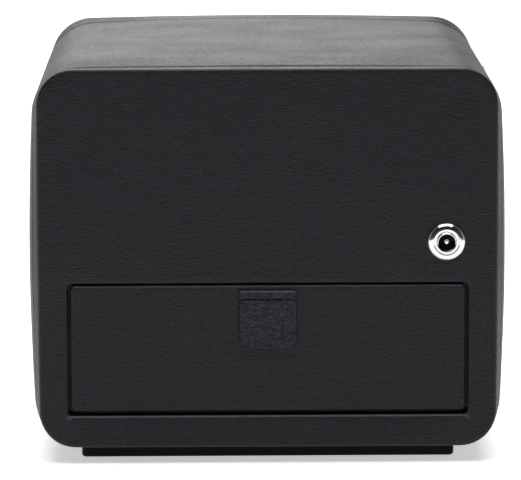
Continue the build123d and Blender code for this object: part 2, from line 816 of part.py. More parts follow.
with BuildPart() as gearbox:
    with BuildSketch(face_plane(gearbox_rear_y, motor_z, motor_x)):
        RectangleRounded(2 * gearbox_half, 2 * gearbox_half, 2)
    extrude(amount=gearbox_rear_y - partition_rear_y)
    round_bar(
        motor_x, motor_z, 2.0 + running_gap, partition_rear_y - 1, partition_rear_y + 8.4,
        Mode.SUBTRACT,
    )
    for screw_x, screw_z in gearbox_screw_places:
        round_bar(screw_x, screw_z, 1.3, partition_rear_y - 1, partition_rear_y + 6, Mode.SUBTRACT)
save(gearbox, "gearbox")

with BuildPart() as gearbox_screws:
    for screw_x, screw_z in gearbox_screw_places:
        round_bar(screw_x, screw_z, 2.4, partition_front_y - 1.6, partition_front_y)
        round_bar(screw_x, screw_z, 1.3, partition_front_y, partition_rear_y + 6)
save(gearbox_screws, "gearbox_screws")

with BuildPart() as gear_motor:
    round_bar(motor_x, motor_z, 12, gearbox_rear_y, 58)
    fillet(gear_motor.edges().group_by(Axis.Y)[-1], 1.5)
    round_bar(motor_x, motor_z, 5, 58, 60)
save(gear_motor, "gear_motor")

# ---------------------------------------------------------------- front door


def door_form(inset, rear_inset=0.0, mode=Mode.ADD):
    """Outer form of the front door, drawn in by inset on its sides and front."""
    middle = centre_z + (flare_top - flare_bottom) / 2
    height = rear_height + flare_top + flare_bottom - 2 * inset
    rear_width_here = rear_width + 2 * flare_side - 2 * inset
    rear_y = seam_y - door_gap - rear_inset
    sections = [crowned_outline(
        rear_y, middle, rear_width_here, height, seam_corner - inset, side_crown, seam_top_crown
    )]
    edge_depth = front_edge[0][0]
    for forward, draw_in in front_edge:
        y = front_y + inset + forward * (edge_depth - inset) / edge_depth
        sections.append(crowned_outline(
            y, middle, front_width - 2 * (inset + draw_in), height - 2 * draw_in,
            front_corner - inset - draw_in, side_crown, front_top_crown,
        ))
    loft(sections, ruled=True, mode=mode)


with BuildPart() as door_frame_core:
    door_form(leather, seam_wrap)
    rounded_plate(
        front_y - 1, seam_y, window_width + 2 * leather, window_height + 2 * leather,
        window_corner + leather, Mode.SUBTRACT,
    )
    rounded_plate(
        glass_front_y, seam_y, window_width + 2 * rebate + 0.6, window_height + 2 * rebate + 0.6,
        window_corner, Mode.SUBTRACT,
    )
    hinge_mortises(seam_y - door_gap - leaf_thickness, seam_y)
    for screw_x, screw_z in hinge_screw_places():
        round_bar(
            screw_x, screw_z, hinge_screw_radius, seam_y - door_gap - hinge_screw_depth, seam_y,
            Mode.SUBTRACT,
        )
    for height in catch_heights:
        round_bar(catch_x, height, catch_radius, catch_back_y, seam_y, Mode.SUBTRACT)
    round_bar(knob_x, centre_z, knob_screw_radius, front_y - 1, seam_y, Mode.SUBTRACT)
    round_bar(knob_x, centre_z, knob_screw_head_radius, seam_y - door_gap - 2, seam_y, Mode.SUBTRACT)
save(door_frame_core, "door_frame_core")

with BuildPart() as door_frame_leather:
    door_form(0)
    door_form(leather, seam_wrap, Mode.SUBTRACT)
    rounded_plate(
        front_y + leather, glass_front_y, window_width + 2 * leather, window_height + 2 * leather,
        window_corner + leather,
    )
    rounded_plate(
        front_y - 1, seam_y, window_width, window_height, window_corner, Mode.SUBTRACT
    )
    rounded_plate(
        glass_front_y, seam_y, window_width + 2 * rebate + 0.6, window_height + 2 * rebate + 0.6,
        window_corner, Mode.SUBTRACT,
    )
    hinge_mortises(seam_y - door_gap - leaf_thickness, seam_y)
    for height in catch_heights:
        round_bar(catch_x, height, catch_radius, catch_back_y, seam_y, Mode.SUBTRACT)
    round_bar(knob_x, centre_z, knob_screw_radius, front_y - 1, seam_y, Mode.SUBTRACT)
    round_bar(knob_x, centre_z, knob_screw_head_radius, seam_y - door_gap - 2, seam_y, Mode.SUBTRACT)
save(door_frame_leather, "door_frame_leather")

with BuildPart() as door_glass:
    rounded_plate(
        glass_front_y, glass_front_y + glass_thickness, window_width + 2 * rebate,
        window_height + 2 * rebate, window_corner,
    )
save(door_glass, "door_glass")

with BuildPart() as glass_retainer:
    rounded_plate(
        glass_front_y + glass_thickness, seam_y - door_gap, window_width + 2 * rebate,
        window_height + 2 * rebate, window_corner,
    )
    rounded_plate(
        glass_front_y, seam_y, window_width - 4, window_height - 4, window_corner, Mode.SUBTRACT
    )
save(glass_retainer, "glass_retainer")

with BuildPart() as door_magnets:
    for height in catch_heights:
        round_bar(catch_x, height, catch_radius, catch_back_y, seam_y - door_gap)
save(door_magnets, "door_magnets")

with BuildPart() as case_strike_plates:
    for height in catch_heights:
        round_bar(catch_x, height, catch_radius, seam_y, seam_y + catch_plate_depth)
save(case_strike_plates, "case_strike_plates")

dome_radius = 12.5
dome_turn = math.degrees(math.asin(4.4 / dome_radius))

with BuildPart() as door_knob:
    with BuildSketch(Plane(origin=(knob_x, 0, centre_z), x_dir=(1, 0, 0), z_dir=(0, 0, 1))):
        with BuildLine():
            knob_foot = Line((1.5, front_y), (4.6, front_y))
            knob_side = Line(knob_foot @ 1, (4.6, front_y - 0.8))
            knob_neck = ThreePointArc(
                knob_side @ 1, (2.7, front_y - 3.0), (3.6, front_y - 4.6)
            )
            ThreePointArc(knob_neck @ 1, (6.0, front_y - 6.4), (4.4, front_y - 8.2))
            CenterArc((0, front_y - 9 + dome_radius), dome_radius, 270, dome_turn)
            Polyline((0, front_y - 9), (0, front_y - 5), (1.5, front_y - 5), (1.5, front_y))
        make_face()
    revolve(axis=Axis((knob_x, 0, centre_z), (0, 1, 0)))
save(door_knob, "door_knob")

with BuildPart() as knob_screw:
    round_bar(knob_x, centre_z, knob_screw_radius, front_y - 5, seam_y - door_gap - 0.4)
    round_bar(knob_x, centre_z, 2.9, seam_y - door_gap - 2, seam_y - door_gap - 0.4)
save(knob_screw, "knob_screw")

# ---------------------------------------------------------------- hinges


def hinge_leaf(height, near, far, knuckles, relief):
    """One hinge leaf: a plate between two depths with its share of the barrel."""
    block(
        (hinge_x, near, height - hinge_half_length),
        (leaf_inner_x, far, height + hinge_half_length),
    )
    for low, high in relief:
        with Locations((hinge_x, hinge_y, height + (low + high) / 2)):
            Cylinder(hinge_radius + 0.25, high - low, mode=Mode.SUBTRACT)
    for low, high in knuckles:
        with Locations((hinge_x, hinge_y, height + (low + high) / 2)):
            Cylinder(hinge_radius, high - low)


outer_knuckles = [(-hinge_half_length, -knuckle_half - 0.1), (knuckle_half + 0.1, hinge_half_length)]
outer_reliefs = [(-hinge_half_length - 1, -knuckle_half), (knuckle_half, hinge_half_length + 1)]
middle_knuckle = [(-knuckle_half, knuckle_half)]
middle_relief = [(-knuckle_half - 0.1, knuckle_half + 0.1)]

with BuildPart() as case_hinge_leaves:
    for height in hinge_heights:
        hinge_leaf(height, seam_y, seam_y + leaf_thickness, outer_knuckles, middle_relief)
        with Locations((hinge_x, hinge_y, height)):
            Cylinder(pin_radius, 40, mode=Mode.SUBTRACT)
    for screw_x, screw_z in hinge_screw_places():
        with Locations(rear_plane(seam_y, screw_z, screw_x)):
            Cone(1.7, 0.8, leaf_thickness, align=(Align.CENTER, Align.CENTER, Align.MIN),
                 mode=Mode.SUBTRACT)
save(case_hinge_leaves, "case_hinge_leaves")

with BuildPart() as door_hinge_leaves:
    for height in hinge_heights:
        hinge_leaf(
            height, seam_y - door_gap - leaf_thickness, seam_y - door_gap, middle_knuckle,
            outer_reliefs,
        )
        with Locations((hinge_x, hinge_y, height)):
            Cylinder(pin_radius + running_gap, 40, mode=Mode.SUBTRACT)
    for screw_x, screw_z in hinge_screw_places():
        with Locations(face_plane(seam_y - door_gap, screw_z, screw_x)):
            Cone(1.7, 0.8, leaf_thickness, align=(Align.CENTER, Align.CENTER, Align.MIN),
                 mode=Mode.SUBTRACT)
save(door_hinge_leaves, "door_hinge_leaves")

with BuildPart() as hinge_pins:
    for height in hinge_heights:
        with Locations((hinge_x, hinge_y, height)):
            Cylinder(pin_radius, 2 * hinge_half_length)
save(hinge_pins, "hinge_pins")

with BuildPart() as case_hinge_screws:
    for screw_x, screw_z in hinge_screw_places():
        with Locations(rear_plane(seam_y, screw_z, screw_x)):
            Cone(1.7, 0.8, leaf_thickness, align=(Align.CENTER, Align.CENTER, Align.MIN))
            Cylinder(0.8, 6.5, align=(Align.CENTER, Align.CENTER, Align.MIN))
save(case_hinge_screws, "case_hinge_screws")

with BuildPart() as door_hinge_screws:
    for screw_x, screw_z in hinge_screw_places():
        with Locations(face_plane(seam_y - door_gap, screw_z, screw_x)):
            Cone(1.7, 0.8, leaf_thickness, align=(Align.CENTER, Align.CENTER, Align.MIN))
            Cylinder(0.8, 6.5, align=(Align.CENTER, Align.CENTER, Align.MIN))
save(door_hinge_screws, "door_hinge_screws")

# ---------------------------------------------------------------- leads


def bend_radii(route):
    """Radius of each bend of a route: as large as its two runs allow."""
    radii = []
    for before, corner, after in zip(route, route[1:], route[2:]):
        arriving = Vector(*corner) - Vector(*before)
        leaving = Vector(*after) - Vector(*corner)
        half_turn = math.radians(arriving.get_angle(leaving)) / 2
        shorter = min(arriving.length, leaving.length)
        radii.append(0.45 * shorter / math.tan(half_turn))
    return radii


def lead(route):
    """Round lead that follows a route in straight runs joined by tangent arcs."""
    with BuildLine() as path:
        FilletPolyline(*route, radius=bend_radii(route))
    start = Vector(*route[0])
    with BuildSketch(Plane(origin=start, z_dir=Vector(*route[1]) - start)) as section:
        Circle(lead_radius)
    sweep(section.sketch, path=path.line)


connector_y = board_rear_y + 6
battery_route = [
    (66, 55, tray_top),
    (66, 55, tray_top + 9),
    (67, 48, 85),
    (68.6, 34, 93.5),
    (68.6, 2, 93.5),
    (70, -15, 82),
    (70, -26, 62),
    (68, -31, 42),
    (64.5, -29, 23.5),
    (64.5, connector_y, 23.5),
]
motor_route = [
    (motor_x, 60, motor_z),
    (motor_x, 68, motor_z),
    (-12, 71, 103),
    (12, 69, 99),
    (36, 61, 98),
    (56, 46, 97),
    (64.5, 28, 95.5),
    (64.5, 2, 95.5),
    (65.5, -12, 82),
    (65.5, -23, 62),
    (63, -28, 42),
    (59, -30, 23.5),
    (59, connector_y, 23.5),
]
jack_route = [
    (jack_x, 63, jack_z),
    (jack_x, 54, jack_z),
    (-54, 47, 83),
    (-30, 45, 80),
    (-5, 44, 79),
    (20, 43, 80),
    (44, 38, 84),
    (63.5, 28, 89.5),
    (63.5, 4, 89.5),
    (61, -8, 76),
    (61, -18, 60),
    (58, -27, 42),
    (53.5, -30, 23.5),
    (53.5, connector_y, 23.5),
]
for name, route in (
    ("battery_lead", battery_route),
    ("motor_lead", motor_route),
    ("jack_lead", jack_route),
):
    with BuildPart() as wire:
        lead(route)
    save(wire, name)
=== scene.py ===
import math

import bmesh
import bpy
import numpy as np
from mathutils import Matrix, Vector, noise
from mathutils.geometry import delaunay_2d_cdt


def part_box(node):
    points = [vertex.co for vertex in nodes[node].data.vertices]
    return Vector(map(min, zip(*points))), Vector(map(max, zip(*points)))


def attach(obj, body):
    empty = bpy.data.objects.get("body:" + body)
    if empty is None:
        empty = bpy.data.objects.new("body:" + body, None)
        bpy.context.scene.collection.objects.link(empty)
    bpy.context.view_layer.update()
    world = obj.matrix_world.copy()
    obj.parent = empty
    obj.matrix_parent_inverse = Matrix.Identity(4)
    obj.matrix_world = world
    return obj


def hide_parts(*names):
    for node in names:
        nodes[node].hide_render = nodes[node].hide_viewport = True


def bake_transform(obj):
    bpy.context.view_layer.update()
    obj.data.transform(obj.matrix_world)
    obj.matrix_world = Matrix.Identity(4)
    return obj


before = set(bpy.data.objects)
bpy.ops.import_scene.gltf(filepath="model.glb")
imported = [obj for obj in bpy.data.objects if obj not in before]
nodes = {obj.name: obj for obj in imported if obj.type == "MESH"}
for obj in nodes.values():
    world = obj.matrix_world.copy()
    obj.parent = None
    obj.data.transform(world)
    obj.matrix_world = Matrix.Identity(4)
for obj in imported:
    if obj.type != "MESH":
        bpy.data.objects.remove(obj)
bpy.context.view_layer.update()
MM = 0.001

# ------------------------ sizes, from the frame
shell_low, shell_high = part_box("shell_leather")
door_low, door_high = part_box("door_frame_leather")
battery_low, battery_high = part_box("battery_door_leather")
BACK_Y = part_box("rear_panel_leather")[1].y
SEAM_Y = shell_low.y
DOOR_REAR_Y = door_high.y
FRONT_Y = door_low.y
BELLY_HALF = shell_high.x

# How the case's section changes with depth from the back face.
FLARE_DEPTH = 15 * MM
FLARE_SIDE = 3.9 * MM
FLARE_TOP = 0.5 * MM
FLARE_BOTTOM = 0.4 * MM
REAR_CORNER = 12.6 * MM
FLARE_CORNER = 16.5 * MM
SEAM_CORNER = 17 * MM
SIDE_CROWN = 2.4 * MM
FLARE_TOP_CROWN = 0.8 * MM
SEAM_TOP_CROWN = 2.6 * MM
FRONT_HALF = 85.2 * MM
FRONT_CORNER = 14.6 * MM
FRONT_TOP_CROWN = 1.3 * MM
REAR_HALF_HEIGHT = (shell_high.z - shell_low.z - FLARE_TOP - FLARE_BOTTOM) / 2
CENTRE_Z = shell_low.z + FLARE_BOTTOM + REAR_HALF_HEIGHT

# Rounded rectangles as (half width, half height, corner radius).
CAVITY = (77 * MM, 60 * MM, 14 * MM)
WINDOW = (64 * MM, 48 * MM, 8 * MM)
REBATE = (67.2 * MM, 51.2 * MM, 8 * MM)
GLASS_FRONT_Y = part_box("door_glass")[0].y

# Rear opening, from the battery door in it.
DOOR_SIDE_GAP = 0.9 * MM
DOOR_BOTTOM_GAP = 1.6 * MM
DOOR_TOP_GAP = 0.7 * MM
OPENING_HALF_WIDTH = battery_high.x + DOOR_SIDE_GAP
OPENING_BOTTOM = battery_low.z - DOOR_BOTTOM_GAP
OPENING_TOP = battery_high.z + DOOR_TOP_GAP

# How the leather is laid and how finely its flat faces are meshed.
SHELL_THICKNESS = 1.15 * MM
PANEL_THICKNESS = 0.8 * MM
FACE_SPACING = 2.2 * MM
SEAM_ROUND = 0.7 * MM
HINGE_LEAF_LENGTH = 24 * MM
HINGE_BARREL_RADIUS = 2 * MM
HINGE_SPACE = 0.3 * MM


# ------------------------ mesh helpers
def rounded_loop(half_width, half_height, corner, arc=12, wide=30, tall=24):
    """Points (x, z) round a rounded rectangle, the same count whatever its size."""
    points = []
    inner_x = half_width - corner
    inner_z = half_height - corner
    centres = [(inner_x, inner_z), (-inner_x, inner_z), (-inner_x, -inner_z), (inner_x, -inner_z)]
    for quarter, (cx, cz) in enumerate(centres):
        for step in range(arc + 1):
            turn = math.pi / 2 * (quarter + step / arc)
            points.append((cx + corner * math.cos(turn), cz + corner * math.sin(turn)))
        nx, nz = centres[(quarter + 1) % 4]
        turn = math.pi / 2 * (quarter + 1)
        shift = (corner * math.cos(turn), corner * math.sin(turn))
        count = wide if quarter % 2 == 0 else tall
        for step in range(1, count):
            share = step / count
            points.append((cx + (nx - cx) * share + shift[0], cz + (nz - cz) * share + shift[1]))
    return np.array(points)


def crowned_loop(half_width, half_height, corner, bulge, crown, **counts):
    """Rounded rectangle whose sides bow out to half_width and whose top bows up by crown."""
    straight_x, straight_z = half_width - bulge, half_height - crown / 2
    loop = rounded_loop(straight_x, straight_z, corner, **counts)
    across, up = loop[:, 0] / straight_x, loop[:, 1] / straight_z
    points = np.empty_like(loop)
    points[:, 0] = loop[:, 0] + across * bulge * (1 - np.minimum(up**2, 1))
    lifted = np.clip(up, 0, 1) * crown * (1 - np.minimum(across**2, 1))
    points[:, 1] = loop[:, 1] - crown / 2 + lifted
    return points


def ring(loop, y, middle_z=CENTRE_Z, middle_x=0.0):
    """A loop of (x, z) points set at depth y."""
    points = np.empty((len(loop), 3))
    points[:, 0] = loop[:, 0] + middle_x
    points[:, 1] = y
    points[:, 2] = loop[:, 1] + middle_z
    return points


def add_object(name, data):
    """New object in the scene."""
    made = bpy.data.objects.new(name, data)
    bpy.context.scene.collection.objects.link(made)
    return made


def link(name, mesh, material, body, replaced=(), smooth_angle=40):
    """Puts a finished mesh in the scene, shaded smooth, riding on its body."""
    mesh.shade_smooth()
    mesh.set_sharp_from_angle(angle=math.radians(smooth_angle))
    piece = add_object(name, mesh)
    piece.data.materials.append(material)
    if body:
        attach(piece, body)
    if replaced:
        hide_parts(*replaced)
    return piece


def rings_mesh(name, rings, closed=True, caps=False):
    """Mesh of quads between successive rings; closed joins the last ring to the first."""
    count = len(rings[0])
    verts = np.concatenate(rings)
    faces = []
    pairs = len(rings) if closed else len(rings) - 1
    for i in range(pairs):
        a = i * count
        b = (i + 1) % len(rings) * count
        for k in range(count):
            n = (k + 1) % count
            faces.append((a + k, a + n, b + n, b + k))
    if caps:
        faces.append(tuple(range(count))[::-1])
        faces.append(tuple(range((len(rings) - 1) * count, len(rings) * count)))
    mesh = bpy.data.meshes.new(name)
    mesh.from_pydata(verts.tolist(), [], faces)
    fix_normals(mesh)
    return mesh


def fix_normals(mesh):
    """Turns every face of a closed mesh outwards."""
    bm = bmesh.new()
    bm.from_mesh(mesh)
    bmesh.ops.recalc_face_normals(bm, faces=bm.faces)
    bm.to_mesh(mesh)
    bm.free()
    mesh.update()


def paint_rim_highlight(piece, amount):
    """Stores on each point how strongly a painted highlight lightens the leather's colour there, 0 to
    1.
    """
    layer = piece.data.attributes.new("rim", "FLOAT", "POINT")
    for i, vertex in enumerate(piece.data.vertices):
        layer.data[i].value = amount(vertex.co)


def apply_modifiers(piece):
    """Replaces a piece's mesh by what its modifiers make of it."""
    depsgraph = bpy.context.evaluated_depsgraph_get()
    depsgraph.update()
    mesh = bpy.data.meshes.new_from_object(piece.evaluated_get(depsgraph))
    piece.modifiers.clear()
    piece.data = mesh
    return piece


def mesh_from(bm, name):
    """Mesh of a bmesh, which is freed."""
    mesh = bpy.data.meshes.new(name)
    bm.to_mesh(mesh)
    bm.free()
    return mesh


def box_cutter(low, high):
    """Plain box between two corners."""
    bm = bmesh.new()
    bmesh.ops.create_cube(bm, size=1)
    for v in bm.verts:
        v.co = Vector((low[i] if v.co[i] < 0 else high[i] for i in range(3)))
    return mesh_from(bm, "cutter")


def rod_cutter(x, z, near, far, radius):
    """Cylinder along Y from near to far."""
    start, end = Vector((x, near, z)), Vector((x, far, z))
    return rod_between(start, end, radius)


def rod_between(start, end, radius):
    """Cylinder between two points."""
    bm = bmesh.new()
    bmesh.ops.create_cone(
        bm, cap_ends=True, segments=48, radius1=radius, radius2=radius, depth=(end - start).length
    )
    turn = (end - start).to_track_quat("Z", "Y").to_matrix().to_4x4()
    bmesh.ops.transform(bm, verts=bm.verts, matrix=Matrix.Translation((start + end) / 2) @ turn)
    return mesh_from(bm, "cutter")


def cut(piece, cutters):
    """Takes the cutters' space out of a piece."""
    helpers = []
    for mesh in cutters:
        helper = add_object("cutter", mesh)
        modifier = piece.modifiers.new("cut", "BOOLEAN")
        modifier.operation = "DIFFERENCE"
        modifier.solver = "EXACT"
        modifier.object = helper
        helpers.append(helper)
    apply_modifiers(piece)
    for helper in helpers:
        bpy.data.objects.remove(helper)
    piece.data.shade_smooth()
    piece.data.set_sharp_from_angle(angle=math.radians(40))
    return piece


def ripple(x, y, z, size, seed=0.0):
    """Smooth noise from -1 to 1 whose bumps are about size across."""
    return noise.noise(Vector((x / size + seed, y / size - seed, z / size + 2 * seed)))


def inside_rounded(x, z, half_width, half_height, corner):
    """Signed distance to a rounded rectangle's edge, negative inside."""
    dx = abs(x) - (half_width - corner)
    dz = abs(z) - (half_height - corner)
    return math.hypot(max(dx, 0), max(dz, 0)) + min(max(dx, dz), 0) - corner


# ------------------------ materials
class Shader:
    """A principled material that is built up node by node."""

    def __init__(self, name, color, roughness, **sockets):
        self.material = bpy.data.materials.new(name)
        self.material.use_nodes = True
        self.tree = self.material.node_tree
        self.shader = self.tree.nodes["Principled BSDF"]
        self.shader.inputs["Base Color"].default_value = (*color, 1)
        self.shader.inputs["Roughness"].default_value = roughness
        for socket, value in sockets.items():
            self.shader.inputs[socket.replace("_", " ")].default_value = value
        self.coordinates = None

    def node(self, kind, **inputs):
        made = self.tree.nodes.new(kind)
        for socket, value in inputs.items():
            self.plug(made.inputs[socket.replace("_", " ")], value)
        return made

    def plug(self, socket, value):
        if isinstance(value, bpy.types.NodeSocket):
            self.tree.links.new(value, socket)
        else:
            socket.default_value = value

    def place(self, scale):
        """Object coordinates, in metres, stretched by scale."""
        if self.coordinates is None:
            self.coordinates = self.node("ShaderNodeTexCoord").outputs["Object"]
        return self.node("ShaderNodeMapping", Vector=self.coordinates, Scale=scale).outputs[0]

    def noise(self, size, stretch=(1, 1, 1), detail=3.0, rough=0.5, distortion=0.0):
        made = self.node(
            "ShaderNodeTexNoise", Vector=self.place(stretch), Scale=1 / size, Detail=detail,
            Roughness=rough, Distortion=distortion,
        )
        return made.outputs["Fac"]

    def cells(self, size, feature="F1", stretch=(1, 1, 1), smooth=None, where=None):
        made = self.node("ShaderNodeTexVoronoi")
        made.feature = feature
        self.plug(made.inputs["Vector"], self.place(stretch) if where is None else where)
        made.inputs["Scale"].default_value = 1 / size
        if smooth is not None:
            made.inputs["Smoothness"].default_value = smooth
        return made.outputs["Distance"]

    def add(self, a, b):
        made = self.node("ShaderNodeVectorMath")
        made.operation = "ADD"
        self.plug(made.inputs[0], a)
        self.plug(made.inputs[1], b)
        return made.outputs[0]

    def warp(self, size, amount, stretch=(1, 1, 1)):
        """Coordinates pushed about by noise, so that cells lose their straight sides."""
        base = self.place(stretch)
        made = self.node("ShaderNodeTexNoise", Vector=base, Scale=1 / size, Detail=2.0)
        scaled = self.node("ShaderNodeVectorMath")
        scaled.operation = "SCALE"
        self.plug(scaled.inputs[0], made.outputs["Color"])
        scaled.inputs["Scale"].default_value = amount
        return self.add(base, scaled.outputs[0])

    def math(self, operation, a, b=0.0, clamp=False):
        made = self.node("ShaderNodeMath")
        made.operation = operation
        made.use_clamp = clamp
        self.plug(made.inputs[0], a)
        self.plug(made.inputs[1], b)
        return made.outputs[0]

    def span(self, value, low, high, start=0.0, end=1.0):
        """Maps value from low..high to start..end, clamped."""
        made = self.node(
            "ShaderNodeMapRange", Value=value, From_Min=low, From_Max=high, To_Min=start, To_Max=end
        )
        return made.outputs["Result"]

    def attribute(self, name):
        made = self.node("ShaderNodeAttribute")
        made.attribute_name = name
        return made.outputs["Fac"]

    def blend(self, share, first, second):
        """Colour between two by share."""
        made = self.node("ShaderNodeMix")
        made.data_type = "RGBA"
        self.plug(made.inputs["Factor"], share)
        for socket, value in ((made.inputs[6], first), (made.inputs[7], second)):
            self.plug(socket, value if isinstance(value, bpy.types.NodeSocket) else (*value, 1))
        return made.outputs[2]

    def bump(self, *layers):
        """Height layers, each (height, depth in metres), coarse first."""
        normal = None
        for height, depth in layers:
            made = self.node("ShaderNodeBump", Strength=1.0, Distance=depth, Height=height)
            if normal is not None:
                self.plug(made.inputs["Normal"], normal)
            normal = made.outputs[0]
        self.plug(self.shader.inputs["Normal"], normal)

    def set(self, socket, value):
        self.plug(self.shader.inputs[socket], value)


def leather_material(name, grain=1.0, size=0.0006, contrast=0.5, pit_shade=(0.0012, 0.0005, 0.0020),
                     top=(0.0068, 0.0038, 0.0100)):
    """Black embossed artificial leather: small irregular pebbles and short creases across it, with
    painted shade in the hollows and creases, and a painted highlight where the rim attribute is set.
    """
    m = Shader(name, top, 0.44, Specular_IOR_Level=0.29)
    pushed = m.warp(size * 2.5, size * 1.6, (0.6, 1.0, 1.0))
    pebbles = m.cells(size, "SMOOTH_F1", smooth=0.6, where=pushed)
    dome = m.span(pebbles, 0.15, 0.75, 1.0, 0.0)
    lumps = m.noise(size * 1.4, (0.5, 1.0, 1.0), detail=3.0, rough=0.6, distortion=0.8)
    creases = m.noise(0.0045, (0.4, 1.0, 1.25), detail=5.0, rough=0.65, distortion=1.0)
    valley = m.span(m.math("ABSOLUTE", m.math("SUBTRACT", creases, 0.5)), 0.0, 0.03)
    fine = m.noise(0.0003, detail=2.0)
    patch = m.noise(0.03, detail=2.0)
    height = m.math("ADD", m.math("MULTIPLY", dome, 0.45), m.math("MULTIPLY", lumps, 1.1))
    # Painted shade: the hollows between the pebbles are darkened towards the pit colour, and the crease
    # valleys are darkened too. The patch noise is the leather's own uneven tone.
    shade_and_tone = m.span(height, 0.75 - contrast * 0.6, 0.75 + contrast * 0.6)
    shade_and_tone = m.math("MULTIPLY", shade_and_tone, m.span(valley, 0.0, 1.0, 0.85, 1.0))
    shade_and_tone = m.math("MULTIPLY", shade_and_tone, m.span(patch, 0.3, 0.7, 0.8, 1.0))
    # Painted highlight: where the rim attribute is set, the colour is lifted towards a pale grey.
    edge = m.math("MULTIPLY", m.attribute("rim"), m.span(lumps, 0.3, 0.7, 0.6, 1.0), clamp=True)
    m.set("Base Color", m.blend(edge, m.blend(shade_and_tone, pit_shade, top), (0.088, 0.083, 0.102)))
    worn = m.math("ADD", m.span(patch, 0.3, 0.7, 0.40, 0.47), m.span(fine, 0.3, 0.7, -0.02, 0.02))
    m.set("Roughness", m.math("ADD", worn, m.span(height, 0.4, 1.0, 0.14, -0.02)))
    m.bump(
        (creases, 0.00012 * grain),
        (valley, 0.000006 * grain),
        (height, 0.00016 * grain),
        (fine, 0.00001),
    )
    return m.material


def velvet_material(name, color=(0.012, 0.012, 0.013)):
    """Short black pile that catches light at a slant."""
    m = Shader(name, color, 0.95, Sheen_Weight=0.45, Sheen_Roughness=0.35)
    m.shader.inputs["Specular IOR Level"].default_value = 0.1
    pile = m.noise(0.00028, detail=2.0)
    brushed = m.noise(0.009, (1, 1, 2.5), detail=3.0, distortion=0.6)
    shade = m.math("ADD", m.span(brushed, 0.3, 0.7, 0.0, 0.6), m.span(pile, 0.3, 0.7, 0.0, 0.4))
    m.set("Base Color", m.blend(shade, tuple(c * 0.6 for c in color), tuple(c * 1.9 for c in color)))
    m.bump((brushed, 0.0003), (pile, 0.00018))
    return m.material


def suede_material(name):
    """Charcoal microfibre of the cuff: fine nap with soft lighter strokes."""
    m = Shader(name, (0.03, 0.03, 0.033), 0.92, Sheen_Weight=0.35, Sheen_Roughness=0.45)
    m.shader.inputs["Specular IOR Level"].default_value = 0.12
    nap = m.noise(0.0004, (1, 1, 1), detail=3.0)
    strokes = m.noise(0.006, (2.2, 1, 1), detail=4.0, distortion=0.8)
    share = m.math("ADD", m.span(strokes, 0.35, 0.65, 0.0, 0.7), m.span(nap, 0.3, 0.7, 0.0, 0.3))
    m.set("Base Color", m.blend(share, (0.016, 0.016, 0.018), (0.045, 0.044, 0.047)))
    m.bump((strokes, 0.00025), (nap, 0.0002))
    return m.material


def metal_material(name, color, roughness, brushed=False, tarnish=0.0):
    """Plated or brushed metal with faint handling marks."""
    m = Shader(name, color, roughness, Metallic=1.0)
    smudge = m.noise(0.004, detail=4.0)
    scratch = m.noise(0.0006, (1, 12, 1) if brushed else (1, 1, 1), detail=2.0)
    low = max(roughness - 0.03, 0.02)
    m.set("Roughness", m.span(smudge, 0.3, 0.75, low, roughness + 0.08))
    dull = tuple(c * (1 - tarnish) for c in color)
    m.set("Base Color", m.blend(m.span(smudge, 0.35, 0.7), color, dull))
    m.bump((scratch, 0.00002 if brushed else 0.000002))
    return m.material


def plastic_material(name, color, roughness=0.5, texture=0.00004):
    """Moulded plastic with a fine spark-eroded texture."""
    m = Shader(name, color, roughness)
    eroded = m.noise(0.0005, detail=3.0)
    cloud = m.noise(0.02, detail=2.0)
    m.set("Roughness", m.span(cloud, 0.3, 0.7, roughness - 0.05, roughness + 0.07))
    m.set("Base Color", m.blend(m.span(cloud, 0.3, 0.7), color, tuple(c * 1.15 + 0.002 for c in color)))
    m.bump((eroded, texture))
    return m.material


def board_material(name, light, dark, specular=0.5):
    """Pressed wood fibre board, raw or painted, with short fibres."""
    m = Shader(name, light, 0.75, Specular_IOR_Level=specular)
    fibre = m.noise(0.0012, (1, 6, 1), detail=5.0, rough=0.65)
    cloud = m.noise(0.015, detail=3.0)
    share = m.math("MULTIPLY", m.span(fibre, 0.3, 0.7), m.span(cloud, 0.25, 0.75, 0.5, 1.0))
    m.set("Base Color", m.blend(share, light, dark))
    m.set("Roughness", m.span(fibre, 0.3, 0.7, 0.65, 0.85))
    m.bump((fibre, 0.00008))
    return m.material


def glass_material(name):
    """Clear window glass with the faintest film on it."""
    m = Shader(name, (0.97, 0.99, 0.985), 0.02, Transmission_Weight=1.0, IOR=1.46)
    film = m.noise(0.012, detail=3.0)
    m.set("Roughness", m.span(film, 0.3, 0.8, 0.0, 0.025))
    return m.material


def circuit_material(name):
    """Green solder mask over copper tracks."""
    m = Shader(name, (0.01, 0.09, 0.035), 0.3)
    tracks = m.cells(0.0022, "DISTANCE_TO_EDGE", (1, 0.2, 1))
    share = m.span(tracks, 0.02, 0.10)
    m.set("Base Color", m.blend(share, (0.015, 0.15, 0.06), (0.007, 0.06, 0.024)))
    m.bump((share, 0.00003))
    return m.material


def lamp_material(name):
    """Clear, faintly green indicator lens."""
    m = Shader(name, (0.35, 0.75, 0.5), 0.15, Transmission_Weight=0.6, IOR=1.5)
    frost = m.noise(0.0006, detail=2.0)
    m.set("Roughness", m.span(frost, 0.3, 0.7, 0.1, 0.25))
    return m.material


def rubber_material(name, color=(0.012, 0.012, 0.013)):
    """Soft sleeve with a dry bloom."""
    m = Shader(name, color, 0.6)
    bloom = m.noise(0.003, detail=4.0)
    m.set("Roughness", m.span(bloom, 0.3, 0.7, 0.5, 0.72))
    m.set("Base Color", m.blend(m.span(bloom, 0.4, 0.75), color, tuple(c * 2.2 for c in color)))
    m.bump((m.noise(0.0004), 0.00002))
    return m.material


